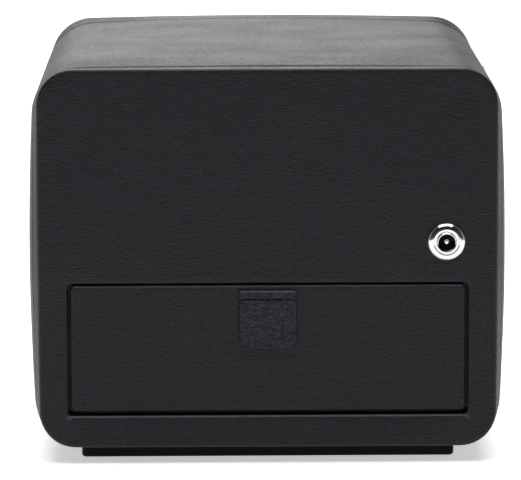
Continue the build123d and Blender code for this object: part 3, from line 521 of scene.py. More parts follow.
def thread_material(name):
    """Twisted black sewing thread."""
    m = Shader(name, (0.002, 0.002, 0.003), 0.75, Specular_IOR_Level=0.12)
    twist = m.node("ShaderNodeTexWave", Vector=m.place((1, 1, 1)), Scale=900)
    twist.bands_direction = "DIAGONAL"
    m.set("Base Color", m.blend(twist.outputs["Fac"], (0.001, 0.001, 0.002), (0.005, 0.005, 0.006)))
    m.bump((twist.outputs["Fac"], 0.00005))
    return m.material


leather = leather_material("black_leather")
leather_tab = leather_material(
    "tab_leather", grain=2.8, size=0.0008, contrast=0.26, pit_shade=(0.0006, 0.0002, 0.0010),
    top=(0.0200, 0.0142, 0.0275),
)
velvet = velvet_material("velvet")
suede = suede_material("suede")
chrome = metal_material("chrome", (0.70, 0.70, 0.72), 0.08)
steel = metal_material("zinc_steel", (0.58, 0.58, 0.60), 0.32, brushed=True, tarnish=0.15)
nickel = metal_material("nickel", (0.72, 0.71, 0.69), 0.18)
brass = metal_material("brass", (0.75, 0.55, 0.25), 0.25, tarnish=0.2)
black_plastic = plastic_material("black_plastic", (0.012, 0.012, 0.013), 0.48)
acetal = plastic_material("acetal", (0.72, 0.71, 0.67), 0.38, 0.00002)
raw_board = board_material("raw_board", (0.30, 0.20, 0.115), (0.20, 0.13, 0.07))
black_board = board_material("black_board", (0.0040, 0.0032, 0.0040), (0.0075, 0.0060, 0.0075), 0.2)
clear_glass = glass_material("clear_glass")
circuit = circuit_material("solder_mask")
lamp = lamp_material("indicator")
sleeve = rubber_material("lead_sleeve")
thread = thread_material("thread")

CAD_FINISH = {
    raw_board: (
        "shell_core", "rear_panel_core", "door_frame_core", "battery_door_core", "partition_board",
    ),
    black_board: ("plinth", "chamber_lining", "fascia"),
    steel: (
        "partition_screws", "gearbox_screws", "board_screws", "tray_screws", "case_hinge_leaves",
        "door_hinge_leaves", "case_hinge_screws", "door_hinge_screws", "hinge_pins", "drum_shaft",
        "shaft_clip", "gear_motor", "dc_jack_nut", "battery_spring_contact", "battery_plate_contact",
        "tray_strike_plates", "case_strike_plates", "knob_screw",
    ),
    nickel: ("door_magnets", "battery_door_magnets"),
    brass: ("shaft_bushes", "motor_pinion"),
    black_plastic: (
        "bearing_housing", "gearbox", "glass_retainer", "board_components", "switch_body",
        "dc_jack_insulator", "battery_tray", "drum_cup", "cuff_core",
    ),
    acetal: ("board_spacers", "drum_gear"),
    chrome: ("dc_jack_shell", "dc_jack_pin", "door_knob", "drum_trim_ring", "power_button"),
    clear_glass: ("door_glass",),
    circuit: ("control_board",),
    lamp: ("led_lens",),
    sleeve: ("jack_lead", "battery_lead", "motor_lead"),
}
for finish, names in CAD_FINISH.items():
    for node_name in names:
        nodes[node_name].data.materials.clear()
        nodes[node_name].data.materials.append(finish)


# ------------------------ case leather
def case_section(depth, inset=0.0):
    """Loop and middle height of the case's outer form at a depth from the back face."""
    swell = 1 - (1 - min(depth, FLARE_DEPTH) / FLARE_DEPTH) ** 2
    straight = max(0.0, depth - FLARE_DEPTH) / (BACK_Y - SEAM_Y - FLARE_DEPTH)
    corner = REAR_CORNER + (FLARE_CORNER - REAR_CORNER) * swell
    corner += (SEAM_CORNER - FLARE_CORNER) * min(straight, 1.0)
    half_width = BELLY_HALF - FLARE_SIDE * (1 - swell) - inset
    half_height = REAR_HALF_HEIGHT + (FLARE_TOP + FLARE_BOTTOM) * swell / 2 - inset
    middle = CENTRE_Z + (FLARE_TOP - FLARE_BOTTOM) * swell / 2
    crown = FLARE_TOP_CROWN * swell + (SEAM_TOP_CROWN - FLARE_TOP_CROWN) * min(straight, 1.0)
    return crowned_loop(half_width, half_height, corner - inset, SIDE_CROWN * swell, crown), middle


def case_ring(depth, inset=0.0, y=None):
    """Ring of the case's outer form, drawn in by inset."""
    loop, middle = case_section(depth, inset)
    return ring(loop, BACK_Y - depth if y is None else y, middle)


def pad_top(points, depth):
    """Raises the top of a ring where the leather lies thicker over the board."""
    rise = 1.3 * MM * smooth_step(depth / (24 * MM)) * smooth_step((158 * MM - depth) / (110 * MM))
    across = np.abs(points[:, 0]) / BELLY_HALF
    up = np.clip((points[:, 2] - CENTRE_Z) / REAR_HALF_HEIGHT, 0, 1)
    points[:, 2] += rise * np.clip(1 - across**6, 0, 1) * up**8
    return points


def smooth_step(value):
    """Eases from 0 to 1 as value goes from 0 to 1."""
    value = min(max(value, 0.0), 1.0)
    return value * value * (3 - 2 * value)


def quarter_round(radius, steps=5):
    """(along, inset) pairs of a quarter round, from the side to the end face."""
    turns = [math.pi / 2 * k / steps for k in range(steps + 1)]
    return [(radius * (1 - math.sin(t)), radius * (1 - math.cos(t))) for t in turns]


def soften(rings, amount, size, seed):
    """Pushes rings in and out by smooth noise, as leather lies over board."""
    for points in rings:
        middle = points.mean(axis=0)
        for p in points:
            push = ripple(*p, size, seed) * amount
            outward = np.array((p[0] - middle[0], 0.0, p[2] - middle[2]))
            reach = np.linalg.norm(outward)
            if reach > 1e-6:
                p += outward / reach * push
    return rings


def hinge_cutters(near, far):
    """Spaces for the hinge leaves, barrels and catches on one side of the seam."""
    low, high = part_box("case_hinge_leaves")
    axis_x = low.x + HINGE_BARREL_RADIUS
    axis_y = (SEAM_Y + DOOR_REAR_Y) / 2
    cutters = []
    for leaf_bottom in (low.z, high.z - HINGE_LEAF_LENGTH):
        bottom = leaf_bottom - HINGE_SPACE
        top = leaf_bottom + HINGE_LEAF_LENGTH + HINGE_SPACE
        cutters.append(box_cutter(
            (low.x - HINGE_BARREL_RADIUS, near, bottom), (high.x + HINGE_SPACE, far, top)
        ))
        start, end = Vector((axis_x, axis_y, bottom)), Vector((axis_x, axis_y, top))
        cutters.append(rod_between(start, end, HINGE_BARREL_RADIUS + 0.4 * MM))
    low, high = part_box("case_strike_plates")
    radius = (high.x - low.x) / 2
    for height in (low.z + radius, high.z - radius):
        cutters.append(rod_cutter(low.x + radius, height, near, far, radius))
    return cutters


def make_shell_wrap():
    """Leather round the case, turned in at the rear groove and over the seam face."""
    start = BACK_Y - shell_high.y
    end = BACK_Y - SEAM_Y
    rear_round = 0.9 * MM
    rings = []
    for along, inset in quarter_round(rear_round)[::-1]:
        rings.append(case_ring(start + along, inset))
    stations = [start + 1.5 * MM, start + 2.6 * MM, start + 4 * MM, start + 6 * MM, start + 8 * MM]
    stations += list(np.linspace(start + 10 * MM, end - 3 * MM, 34))
    outer = [pad_top(case_ring(depth), depth) for depth in stations]
    rings += soften(outer, 0.10 * MM, 0.028, 3.1)
    for along, inset in quarter_round(SEAM_ROUND):
        rings.append(case_ring(end - along, inset))
    lip, middle = case_section(end, SEAM_ROUND)
    lip = ring(lip, SEAM_Y, middle)
    cavity = ring(rounded_loop(*CAVITY), SEAM_Y)
    for share in (0.35, 0.7, 0.97):
        rings.append(lip + (cavity - lip) * share)
    inner_y = SEAM_Y + 0.75 * MM
    rings.append(ring(rounded_loop(*CAVITY), SEAM_Y + 0.25 * MM))
    rings.append(ring(rounded_loop(*CAVITY), inner_y))
    rings.append(case_ring(end, SHELL_THICKNESS, inner_y))
    for depth in np.linspace(end - 5 * MM, start, 12):
        rings.append(case_ring(depth, SHELL_THICKNESS))
    mesh = rings_mesh("shell_wrap", rings)
    piece = link("shell_wrap", mesh, leather, "case", ("shell_leather",))
    return cut(piece, hinge_cutters(SEAM_Y - 1 * MM, SEAM_Y + 0.8 * MM))


# ------------------------ flat leather panels
def filled_panel(name, outer_rings, holes, keep, lift):
    """Leather sheet over a flat panel: edge rings, hole rings and an evenly meshed face between.
    keep is how far a point (x, z) is inside the face; lift is the face's height there."""
    bm = bmesh.new()

    def add_rings(rings):
        rows = [[bm.verts.new(p) for p in points] for points in rings]
        for first, second in zip(rows, rows[1:]):
            for k in range(len(first)):
                n = (k + 1) % len(first)
                bm.faces.new((first[k], first[n], second[n], second[k]))
        return rows[-1]

    loops = [add_rings(rings) for rings in [outer_rings, *holes]]
    face_y = outer_rings[-1][0][1]
    flat, edges, known = [], [], []
    for loop in loops:
        base = len(flat)
        flat += [Vector((v.co.x, v.co.z)) for v in loop]
        known += loop
        edges += [(base + k, base + (k + 1) % len(loop)) for k in range(len(loop))]
    low_x, high_x = min(p.x for p in flat), max(p.x for p in flat)
    low_z, high_z = min(p.y for p in flat), max(p.y for p in flat)
    row, z = 0, low_z + FACE_SPACING / 2
    while z < high_z:
        x = low_x + FACE_SPACING * (0.5 + row % 2 / 2)
        while x < high_x:
            if keep(x, z) > FACE_SPACING * 0.55:
                flat.append(Vector((x, z)))
            x += FACE_SPACING
        z += FACE_SPACING * 0.866
        row += 1
    points, _, triangles, origins, _, _ = delaunay_2d_cdt(flat, edges, [], 0, 1e-7)
    verts = []
    for point, origin in zip(points, origins):
        first = origin[0] if origin else None
        if first is not None and first < len(known):
            verts.append(known[first])
        else:
            verts.append(bm.verts.new((point.x, face_y, point.y)))
    for triangle in triangles:
        middle = sum((points[i] for i in triangle), Vector((0, 0))) / 3
        if keep(middle.x, middle.y) > 0:
            bm.faces.new([verts[i] for i in triangle])
    sign = 1 if face_y > 0 else -1
    rise_width = 6 * MM
    for v in bm.verts:
        depth = keep(v.co.x, v.co.z)
        if abs(v.co.y - face_y) < 1e-6 and depth > 0:
            v.co.y += sign * lift(v.co.x, v.co.z) * min(1.0, depth / rise_width)
    loose = [v for v in bm.verts if not v.link_faces]
    bmesh.ops.delete(bm, geom=loose, context="VERTS")
    bmesh.ops.recalc_face_normals(bm, faces=bm.faces)
    face = max(bm.faces, key=lambda f: abs(f.normal.y))
    if face.normal.y * sign < 0:
        bmesh.ops.reverse_faces(bm, faces=bm.faces)
    helper = add_object(name + "_flat", mesh_from(bm, name))
    solid = helper.modifiers.new("thickness", "SOLIDIFY")
    solid.thickness = PANEL_THICKNESS
    solid.offset = -1
    apply_modifiers(helper)
    mesh = helper.data
    bpy.data.objects.remove(helper)
    return mesh


def hole_rings(half_width, half_height, corner, middle_x, middle_z, depth, radius, **counts):
    """Rings of leather turned into a hole, from inside it out onto the face."""
    made = []
    for y in (BACK_Y - depth, BACK_Y - depth * 0.6, BACK_Y - depth * 0.3):
        loop = rounded_loop(half_width, half_height, corner, **counts)
        made.append(ring(loop, y, middle_z, middle_x))
    for along, grow in quarter_round(radius):
        loop = rounded_loop(half_width + grow, half_height + grow, corner + grow, **counts)
        made.append(ring(loop, BACK_Y - along, middle_z, middle_x))
    return made


def make_rear_panel_wrap():
    """Padded leather face at the back, turned over its edge and into the battery opening."""
    edge = 1.0 * MM
    rings = [case_ring(depth) for depth in (4.95 * MM, 4.3 * MM, 3.4 * MM, 2.5 * MM)]
    rings.insert(0, case_ring(4.98 * MM, 0.5 * MM))
    for depth, inset in quarter_round(edge, 6):
        rings.append(case_ring(depth, inset))
    opening_middle = (OPENING_BOTTOM + OPENING_TOP) / 2
    opening = (OPENING_HALF_WIDTH, (OPENING_TOP - OPENING_BOTTOM) / 2, 1.9 * MM)
    lip = 0.8 * MM
    low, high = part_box("dc_jack_shell")
    jack = ((low.x + high.x) / 2, (low.z + high.z) / 2)
    jack_hole, jack_lip = 5.6 * MM, 0.4 * MM
    holes = [
        hole_rings(*opening, 0.0, opening_middle, 4.6 * MM, lip, arc=6, wide=80, tall=28),
        hole_rings(jack_hole, jack_hole, jack_hole - 0.01 * MM, *jack, 4.0 * MM, jack_lip,
                   arc=8, wide=2, tall=2),
    ]
    outline, middle = case_section(0.0, edge)
    half_width, half_height = outline[:, 0].max(), outline[:, 1].max()

    def keep(x, z):
        outside = inside_rounded(x, z - middle, half_width, half_height, REAR_CORNER - edge)
        hole = inside_rounded(
            x, z - opening_middle, opening[0] + lip, opening[1] + lip, opening[2] + lip
        )
        jack_edge = math.hypot(x - jack[0], z - jack[1]) - jack_hole - jack_lip
        return min(-outside, hole, jack_edge)

    def lift(x, z):
        return ripple(x, 0, z, 0.022, 5.0) * 0.10 * MM + ripple(x, 0, z, 0.055, 9.0) * 0.14 * MM

    mesh = filled_panel("rear_panel_wrap", rings, holes, keep, lift)
    piece = link("rear_panel_wrap", mesh, leather, "case", ("rear_panel_leather",))
    # Painted highlight on the rounded lip along the bottom of the battery opening.
    paint_rim_highlight(piece, lambda co: lower_lip_highlight(co, lip))


def lower_lip_highlight(co, lip):
    """Share of painted highlight: 1 on the rounded lip along the bottom of the battery opening, 0
    elsewhere.
    """
    within = abs(co.x) < OPENING_HALF_WIDTH + lip and co.y > BACK_Y - 1.5 * lip
    if not within:
        return 0.0
    return 1.0 - smooth_step((abs(co.z - OPENING_BOTTOM + 0.4 * lip) - 0.2 * lip) / (0.3 * lip))


def make_battery_door_wrap():
    """Leather over the battery door, with soft turned edges."""
    edge = 0.9 * MM
    half_width = battery_high.x
    half_height = (battery_high.z - battery_low.z) / 2
    middle = (battery_high.z + battery_low.z) / 2
    corner = 1.9 * MM
    counts = dict(arc=6, wide=80, tall=28)
    rings = []
    for y in (battery_low.y, battery_low.y + 1.2 * MM, battery_low.y + 2.4 * MM):
        rings.append(ring(rounded_loop(half_width, half_height, corner, **counts), y, middle))
    for along, draw in quarter_round(edge):
        loop = rounded_loop(half_width - draw, half_height - draw, corner - draw, **counts)
        rings.append(ring(loop, battery_high.y - along, middle))
    for points in rings:
        for p in points:
            wave = ripple(p[0], 0, p[2], 0.016, 21.0) * 0.16 * MM
            p[2] += wave * (1 if p[2] > middle else -1) * 0.8

    def keep(x, z):
        return -inside_rounded(x, z - middle, half_width - edge, half_height - edge, corner - edge)

    def lift(x, z):
        return ripple(x, 0, z, 0.018, 31.0) * 0.08 * MM

    mesh = filled_panel("battery_door_wrap", rings, [], keep, lift)
    piece = link(
        "battery_door_wrap", mesh, leather, "battery_door", ("battery_door_leather",)
    )
    top = middle + half_height
    # Painted highlight along the door's top edge.
    paint_rim_highlight(piece, lambda co: smooth_step((co.z - top + 0.8 * MM) / (0.35 * MM)))


# ------------------------ pull tab
def make_pull_tab():
    """One strip of leather: sewn to the battery door at its top, free below the stitching."""
    anchor_low, anchor_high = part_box("pull_tab_anchor")
    flap_low, flap_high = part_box("pull_tab_flap")
    half = anchor_high.x
    top, bottom = anchor_high.z, flap_low.z
    base_y = anchor_low.y + 0.05 * MM
    thick = anchor_high.y - anchor_low.y - 0.1 * MM
    corner, top_corner, roll = 4.5 * MM, 0.9 * MM, 0.55 * MM
    stitch_z = top - 3.2 * MM
    curl, curl_length = 0.45 * MM, 3 * MM
    groove_depth, groove_width = 0.45 * MM, 0.36 * MM
    columns, rows = 110, 114

    def half_at(z):
        if z < bottom + corner:
            return half - corner + math.sqrt(max(corner**2 - (bottom + corner - z) ** 2, 0))
        if z > top - top_corner:
            return half - top_corner + math.sqrt(max(top_corner**2 - (z - top + top_corner) ** 2, 0))
        return half

    climbs = [(1 - math.cos(math.pi * r / rows)) / 2 for r in range(rows + 1)]
    heights = [bottom + (top - bottom) * climb for climb in climbs]
    bm = bmesh.new()
    grids = []
    for side in (0, 1):
        grid = []
        for r, z in enumerate(heights):
            row = []
            for c in range(columns + 1):
                border = c in (0, columns) or r in (0, rows)
                if side and border:
                    row.append(grids[0][r][c])
                    continue
                share = -math.cos(math.pi * c / columns)
                x = share * half_at(z)
                rim = min((1 - abs(share)) * half_at(z), z - bottom, top - z)
                if z < bottom + corner and abs(x) > half - corner:
                    reach = math.hypot(abs(x) - half + corner, bottom + corner - z)
                    rim = min(rim, corner - reach)
                rim = max(rim, 0.0)
                round_off = math.sqrt(1 - (1 - min(rim / roll, 1)) ** 2)
                lifted = curl * smooth_step((stitch_z - z) / curl_length)
                edge_y = base_y + lifted + (thick - lifted) * 0.45
                if side == 0:
                    y = edge_y + (base_y + thick - edge_y) * round_off
                    groove = math.exp(-((z - stitch_z) / groove_width) ** 2)
                    y -= groove_depth * groove * round_off
                    y += ripple(x, 0, z, 4.2 * MM, 2.0) * 0.12 * MM * round_off
                    y += ripple(x * 0.7, 0, z, 1.1 * MM, 7.0) * 0.10 * MM * round_off
                else:
                    y = edge_y - (edge_y - base_y - lifted) * round_off
                row.append(bm.verts.new((x, y, z)))
            grid.append(row)
        grids.append(grid)
    for side, grid in enumerate(grids):
        for r in range(rows):
            for c in range(columns):
                quad = (grid[r][c], grid[r][c + 1], grid[r + 1][c + 1], grid[r + 1][c])
                corners = list(dict.fromkeys(quad if side else quad[::-1]))
                if len(corners) > 2:
                    bm.faces.new(corners)
    bmesh.ops.remove_doubles(bm, verts=bm.verts, dist=1e-7)
    bmesh.ops.recalc_face_normals(bm, faces=bm.faces)
    piece = link("pull_tab", mesh_from(bm, "pull_tab"), leather_tab, None,
                 ("pull_tab_anchor", "pull_tab_flap"), 60)
    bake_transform(piece)
    # Painted highlight along the tab's top edge.
    paint_rim_highlight(piece, lambda co: smooth_step((co.z - top + 0.7 * MM) / (0.5 * MM)))
    make_stitches(stitch_z, base_y + thick - 0.42 * MM, half - 1.2 * MM)


def make_stitches(z, y, reach):
    """Row of sunken stitches across the tab."""
    pitch, length, radius = 2.3 * MM, 1.95 * MM, 0.27 * MM
    count = int(2 * reach / pitch)
    bm = bmesh.new()
    for i in range(count):
        middle = (i - (count - 1) / 2) * pitch
        rows = []
        for k in range(9):
            share = k / 8 * 2 - 1
            x = middle + share * length / 2
            dip = 0.30 * MM * share**4
            size = radius * math.sqrt(max(1 - share**6, 0.02))
            row = []
            for n in range(10):
                turn = 2 * math.pi * n / 10
                offset = (0, math.cos(turn) * size - dip, math.sin(turn) * size + share * 0.06 * MM)
                row.append(bm.verts.new(Vector((x, y, z)) + Vector(offset)))
            rows.append(row)
        for first, second in zip(rows, rows[1:]):
            for n in range(10):
                bm.faces.new((first[n], first[(n + 1) % 10], second[(n + 1) % 10], second[n]))
        bm.faces.new(rows[0][::-1])
        bm.faces.new(rows[-1])
    bmesh.ops.recalc_face_normals(bm, faces=bm.faces)
    mesh = mesh_from(bm, "pull_tab_stitches")
    link("pull_tab_stitches", mesh, thread, "battery_door", smooth_angle=80)


# ------------------------ front door leather
def make_door_wrap():
    """Leather round the door frame: rear face, sides, soft front edge and window reveal."""
    outer_middle = (door_low.z + door_high.z) / 2
    rear_half, half_height = door_high.x, (door_high.z - door_low.z) / 2
    edge_depth, edge_draw = 3.0 * MM, 2.4 * MM
    length = DOOR_REAR_Y - FRONT_Y - edge_depth

    def outer(inset, y):
        share = min(max((DOOR_REAR_Y - y) / length, 0.0), 1.0)
        half_width = rear_half + (FRONT_HALF - rear_half) * share - inset
        corner = SEAM_CORNER + (FRONT_CORNER - SEAM_CORNER) * share - inset
        crown = SEAM_TOP_CROWN + (FRONT_TOP_CROWN - SEAM_TOP_CROWN) * share
        loop = crowned_loop(half_width, half_height - inset, corner, SIDE_CROWN, crown)
        return ring(loop, y, outer_middle)

    rebate = ring(rounded_loop(*REBATE), DOOR_REAR_Y)
    rear_edge = outer(SEAM_ROUND, DOOR_REAR_Y)
    rings = [rebate + (rear_edge - rebate) * share for share in np.linspace(0, 1, 8)]
    for along, inset in quarter_round(SEAM_ROUND)[-2::-1]:
        rings.append(outer(inset, DOOR_REAR_Y - along))
    sides = [outer(0.0, y) for y in np.linspace(DOOR_REAR_Y - 1.6 * MM, FRONT_Y + edge_depth, 6)]
    rings += soften(sides, 0.06 * MM, 0.03, 12.0)
    for along, inset in quarter_round(1.0, 8)[1:]:
        rings.append(outer(edge_draw * inset, FRONT_Y + edge_depth * along))
    lip, padding = 1.3 * MM, 0.25 * MM
    window_wide = tuple(size + lip for size in WINDOW)
    start, end = outer(edge_draw, FRONT_Y), ring(rounded_loop(*window_wide), FRONT_Y)
    for share in np.linspace(0.07, 0.96, 14):
        points = start + (end - start) * share
        for p in points:
            p[1] -= padding * math.sin(math.pi * share)
            p[1] -= ripple(p[0], 0, p[2], 0.02, 8.0) * 0.07 * MM
        rings.append(points)
    for grow, along in quarter_round(lip, 6):
        loop = rounded_loop(*(size + grow for size in WINDOW))
        rings.append(ring(loop, FRONT_Y + along))
    reveal_end = GLASS_FRONT_Y - 0.02 * MM
    for y in (FRONT_Y + 3 * MM, FRONT_Y + 5 * MM, reveal_end):
        rings.append(ring(rounded_loop(*WINDOW), y))
    rings.append(ring(rounded_loop(*REBATE), reveal_end))
    mesh = rings_mesh("door_frame_wrap", rings)
    replaced = ("door_frame_leather",)
    piece = link("door_frame_wrap", mesh, leather, "front_door", replaced)
    cutters = hinge_cutters(DOOR_REAR_Y - 0.8 * MM, DOOR_REAR_Y + 1 * MM)
    low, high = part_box("knob_screw")
    screw_x, screw_z = (low.x + high.x) / 2, (low.z + high.z) / 2
    cutters.append(rod_cutter(screw_x, screw_z, DOOR_REAR_Y - 2 * MM, DOOR_REAR_Y + 1 * MM, 3 * MM))
    return cut(piece, cutters)


# ------------------------ drum lining and cuff
# Where the cuff's two cords lie, as a share of its half length.
CORD_PLACE = 0.62


def make_drum_velvet():
    """Foam insert of the drum under velvet: round face, rolled lip and a deep square pocket."""
    low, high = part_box("drum_lining")
    radius = (high.x - low.x) / 2 - 0.1 * MM
    pocket = (37 * MM, 31 * MM, 6 * MM)
    counts = dict(arc=12, wide=36, tall=30)
    square = rounded_loop(*pocket, **counts)
    turns = np.arctan2(square[:, 1], square[:, 0])
    circle = np.stack((np.cos(turns), np.sin(turns)), axis=1)
    front, back = low.y, high.y
    rings = [ring(circle * radius * share, back - 0.1 * MM) for share in (0.1, 0.6, 1.0)]
    rings += [ring(circle * radius, y) for y in np.linspace(back - 3 * MM, front + 4 * MM, 5)]
    roll = 2.6 * MM
    for along, draw in quarter_round(roll)[1:]:
        rings.append(ring(circle * (radius - draw * 0.5), front + along))
    face_radius = radius - roll * 0.5
    for grow, along in quarter_round(roll, 7):
        loop = rounded_loop(*(size + grow * 0.55 for size in pocket), **counts)
        limit = face_radius / np.maximum(np.hypot(loop[:, 0], loop[:, 1]), face_radius)
        rings.append(ring(loop * limit[:, None], front + along))
    bottom = front + 48 * MM
    bulge, sag = 0.35 / 34, 0.6 * MM
    for y in np.linspace(front + 5 * MM, bottom - 2 * MM, 12):
        swell = math.sin(math.pi * (y - front) / (bottom - front))
        rings.append(ring(square * (1 - bulge * swell), y))
    for share in (0.97, 0.8, 0.5, 0.1):
        rings.append(ring(square * share, bottom - sag * (1 - share)))
    mesh = rings_mesh("drum_velvet", rings, closed=False, caps=True)
    piece = link("drum_velvet", mesh, velvet, "drum", ("drum_lining",), 60)
    return piece


def cuff_rings(low, high, shrink):
    """Rings of the cuff pad: an oval sleeve with rounded ends."""
    half_length = (high.x - low.x) / 2 - shrink
    outer = ((high.y - low.y) / 2 - shrink, (high.z - low.z) / 2 - shrink)
    wall, end = 9 * MM - 2 * shrink, 4.2 * MM
    hollow = (outer[0] - wall, outer[1] - wall)
    middle = (low + high) / 2
    profile = []
    for x in np.linspace(-half_length + end, half_length - end, 22):
        profile.append((x, 0.0))
    for step in range(1, 9):
        turn = math.pi * step / 9
        profile.append((half_length - end + end * math.sin(turn), (1 - math.cos(turn)) / 2))
    for x in np.linspace(half_length - end, -half_length + end, 10):
        profile.append((x, 1.0))
    for step in range(1, 9):
        turn = math.pi * step / 9
        profile.append((-half_length + end - end * math.sin(turn), (1 + math.cos(turn)) / 2))
    rings, around = [], 72
    for x, share in profile:
        half_y = outer[0] + (hollow[0] - outer[0]) * share
        half_z = outer[1] + (hollow[1] - outer[1]) * share
        turns = np.linspace(0, 2 * math.pi, around, endpoint=False)
        points = np.stack((
            np.full(around, middle.x + x),
            middle.y + half_y * np.cos(turns),
            middle.z + half_z * np.sin(turns),
        ), axis=1)
        rings.append(points)
    return rings


def puff(piece, pressure, cap, voxel, frames=20):
    """Swells a closed pad by cloth simulation, holding each point within cap of where it began."""
    remesh = piece.modifiers.new("voxels", "REMESH")
    remesh.mode = "VOXEL"
    remesh.voxel_size = voxel
    apply_modifiers(piece)
    start = np.array([v.co for v in piece.data.vertices])
    cloth = piece.modifiers.new("cloth", "CLOTH").settings
    cloth.quality = 6
    cloth.mass = 0.15
    cloth.tension_stiffness = 12
    cloth.compression_stiffness = 12
    cloth.bending_stiffness = 0.4
    cloth.use_pressure = True
    cloth.uniform_pressure_force = pressure
    cloth.effector_weights.gravity = 0
    scene = bpy.context.scene
    for step in range(1, frames + 1):
        scene.frame_set(step)
    apply_modifiers(piece)
    scene.frame_set(1)
    moved = np.array([v.co for v in piece.data.vertices])
    shift = moved - start
    reach = np.linalg.norm(shift, axis=1, keepdims=True)
    shift *= np.minimum(1.0, cap / np.maximum(reach, 1e-9))
    piece.data.vertices.foreach_set("co", (start + shift).ravel())
    piece.data.update()
    smooth = piece.modifiers.new("even", "SMOOTH")
    smooth.factor = 0.5
    smooth.iterations = 3
    fine = piece.modifiers.new("finer", "SUBSURF")
    fine.levels = 1
    fine.render_levels = 1
    return apply_modifiers(piece)


def make_cuff():
    """Padded suede cuff, swollen by simulation, with corded ends and a seam."""
    low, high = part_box("cuff_pad")
    shrink = 0.9 * MM
    mesh = rings_mesh("cuff_cushion", cuff_rings(low, high, shrink))
    piece = link("cuff_cushion", mesh, suede, "watch_cuff", ("cuff_pad",), 80)
    puff(piece, pressure=4.0, cap=1.6 * MM, voxel=2.4 * MM)
    middle = (low + high) / 2
    half_y, half_z = (high.y - low.y) / 2, (high.z - low.z) / 2
    skin, sunk = 0.78, 0.6 * MM
    for v in piece.data.vertices:
        across = (v.co.x - middle.x) / (high.x - low.x) * 2
        rim = math.hypot((v.co.y - middle.y) / half_y, (v.co.z - middle.z) / half_z)
        if rim > skin:
            places = (-CORD_PLACE, CORD_PLACE)
            groove = sum(math.exp(-((across - place) / 0.022) ** 2) for place in places)
            pull = 1 - 0.045 * groove * (rim - skin) / (1 - skin)
            v.co.y = middle.y + (v.co.y - middle.y) * pull
            v.co.z = middle.z + (v.co.z - middle.z) * pull
    piece.data.shade_smooth()
    for name, side in (("cuff_cord_left", -1), ("cuff_cord_right", 1)):
        cord_x = middle.x + side * CORD_PLACE * (high.x - low.x) / 2
        make_cuff_cord(name, cord_x, middle, half_y - sunk, half_z - sunk)


def make_cuff_cord(name, x, middle, half_y, half_z):
    """Thin sewn cord lying in a groove round the cuff."""
    rings = []
    stations, radius, twist, press = 120, 0.55 * MM, 0.6, 0.985
    for k in range(stations):
        turn = 2 * math.pi * k / stations
        centre = np.array((
            x,
            middle.y + half_y * math.cos(turn) * press,
            middle.z + half_z * math.sin(turn) * press,
        ))
        outward = np.array((0, math.cos(turn) / half_y, math.sin(turn) / half_z))
        outward /= np.linalg.norm(outward)
        points = []
        for n in range(10):
            spin = 2 * math.pi * n / 10 + k * twist
            size = radius * (1 + 0.12 * math.cos(2 * (spin - k * twist) + k * 1.3))
            sideways = np.array((size * math.sin(spin), 0, 0))
            points.append(centre + outward * size * math.cos(spin) + sideways)
        rings.append(np.array(points))
    link(name, rings_mesh(name, rings), thread, "watch_cuff", smooth_angle=80)


make_shell_wrap()
make_rear_panel_wrap()
make_battery_door_wrap()
make_pull_tab()
make_door_wrap()
make_drum_velvet()
make_cuff()


# ------------------------ floor, light and camera
def make_floor():
    """Wide pale floor that isn't part of the object."""
    m = Shader("floor_paper", (0.93, 0.93, 0.94), 0.9)
    m.shader.inputs["Specular IOR Level"].default_value = 0.1
    mottle = m.noise(0.05, detail=2.0)
    m.set("Base Color", m.blend(mottle, (0.925, 0.925, 0.935), (0.94, 0.94, 0.945)))
    m.shader.inputs["Emission Color"].default_value = (1, 1, 1, 1)
    m.shader.inputs["Emission Strength"].default_value = 0.5
    bm = bmesh.new()
    bmesh.ops.create_circle(bm, cap_ends=True, segments=96, radius=6)
    floor = add_object("floor", mesh_from(bm, "floor"))
    floor.location.z = -0.2 * MM
    floor.data.materials.append(m.material)


def make_light(name, place, aim, size, power):
    """Square soft light aimed at a point."""
    data = bpy.data.lights.new(name, "AREA")
    data.shape = "RECTANGLE"
    data.size, data.size_y = size
    data.energy = power
    lamp_object = add_object(name, data)
    lamp_object.location = place
    lamp_object.rotation_euler = (Vector(aim) - Vector(place)).to_track_quat("-Z", "Y").to_euler()


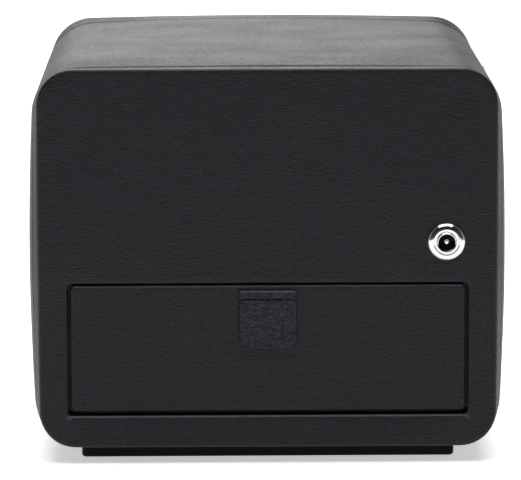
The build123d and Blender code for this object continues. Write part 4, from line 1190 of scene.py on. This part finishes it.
def make_studio():
    """White surroundings that are dimmer on the side that the back face looks at."""
    world = bpy.data.worlds.new("studio")
    world.use_nodes = True
    tree = world.node_tree
    background = tree.nodes["Background"]
    background.inputs["Color"].default_value = (1, 1, 1, 1)
    new = tree.nodes.new
    where, split = new("ShaderNodeTexCoord"), new("ShaderNodeSeparateXYZ")
    tree.links.new(where.outputs["Generated"], split.inputs[0])
    shares = []
    for axis, ends in (("Y", (-0.40, 0.35, 1.15, 0.06)), ("Z", (0.12, 0.55, 1.0, 0.35))):
        fade = new("ShaderNodeMapRange")
        tree.links.new(split.outputs[axis], fade.inputs["Value"])
        for socket, value in zip(("From Min", "From Max", "To Min", "To Max"), ends):
            fade.inputs[socket].default_value = value
        shares.append(fade.outputs["Result"])
    strength = new("ShaderNodeMath")
    strength.operation = "MULTIPLY"
    for socket, share in zip(strength.inputs, shares):
        tree.links.new(share, socket)
    tree.links.new(strength.outputs[0], background.inputs["Strength"])
    bpy.context.scene.world = world
    bpy.context.scene.view_settings.view_transform = "Standard"
    middle = (0, 0, CENTRE_Z)
    make_light("top_box", (0, 0.1, 1.5), middle, (1.4, 1.4), 27)
    make_light("front_box", (0.2, -1.6, 0.9), middle, (0.9, 0.7), 6)


def make_camera():
    """Long lens behind the box, slightly above it, as the product was photographed."""
    distance, lens = 1.426, 273.7
    elevation, yaw, roll = (math.radians(angle) for angle in (9.68, 0.63, -0.17))
    right_shift, up_shift = -2.59 * MM, 7.06 * MM
    level = math.cos(elevation)
    backward = Vector((math.sin(yaw) * level, math.cos(yaw) * level, math.sin(elevation)))
    right = Vector((-math.cos(yaw), math.sin(yaw), 0))
    up = backward.cross(right)
    target = Vector((0, BACK_Y, CENTRE_Z))
    place = target + backward * distance + right * right_shift + up * up_shift
    rolled_right = right * math.cos(roll) + up * math.sin(roll)
    rolled_up = up * math.cos(roll) - right * math.sin(roll)
    data = bpy.data.cameras.new("camera")
    data.lens = lens
    data.sensor_width = 36
    data.clip_start = 0.05
    data.clip_end = 60
    camera = add_object("camera", data)
    turn = Matrix((rolled_right, rolled_up, backward)).transposed().to_4x4()
    camera.matrix_world = Matrix.Translation(place) @ turn
    bpy.context.scene.camera = camera


make_floor()
make_studio()
make_camera()
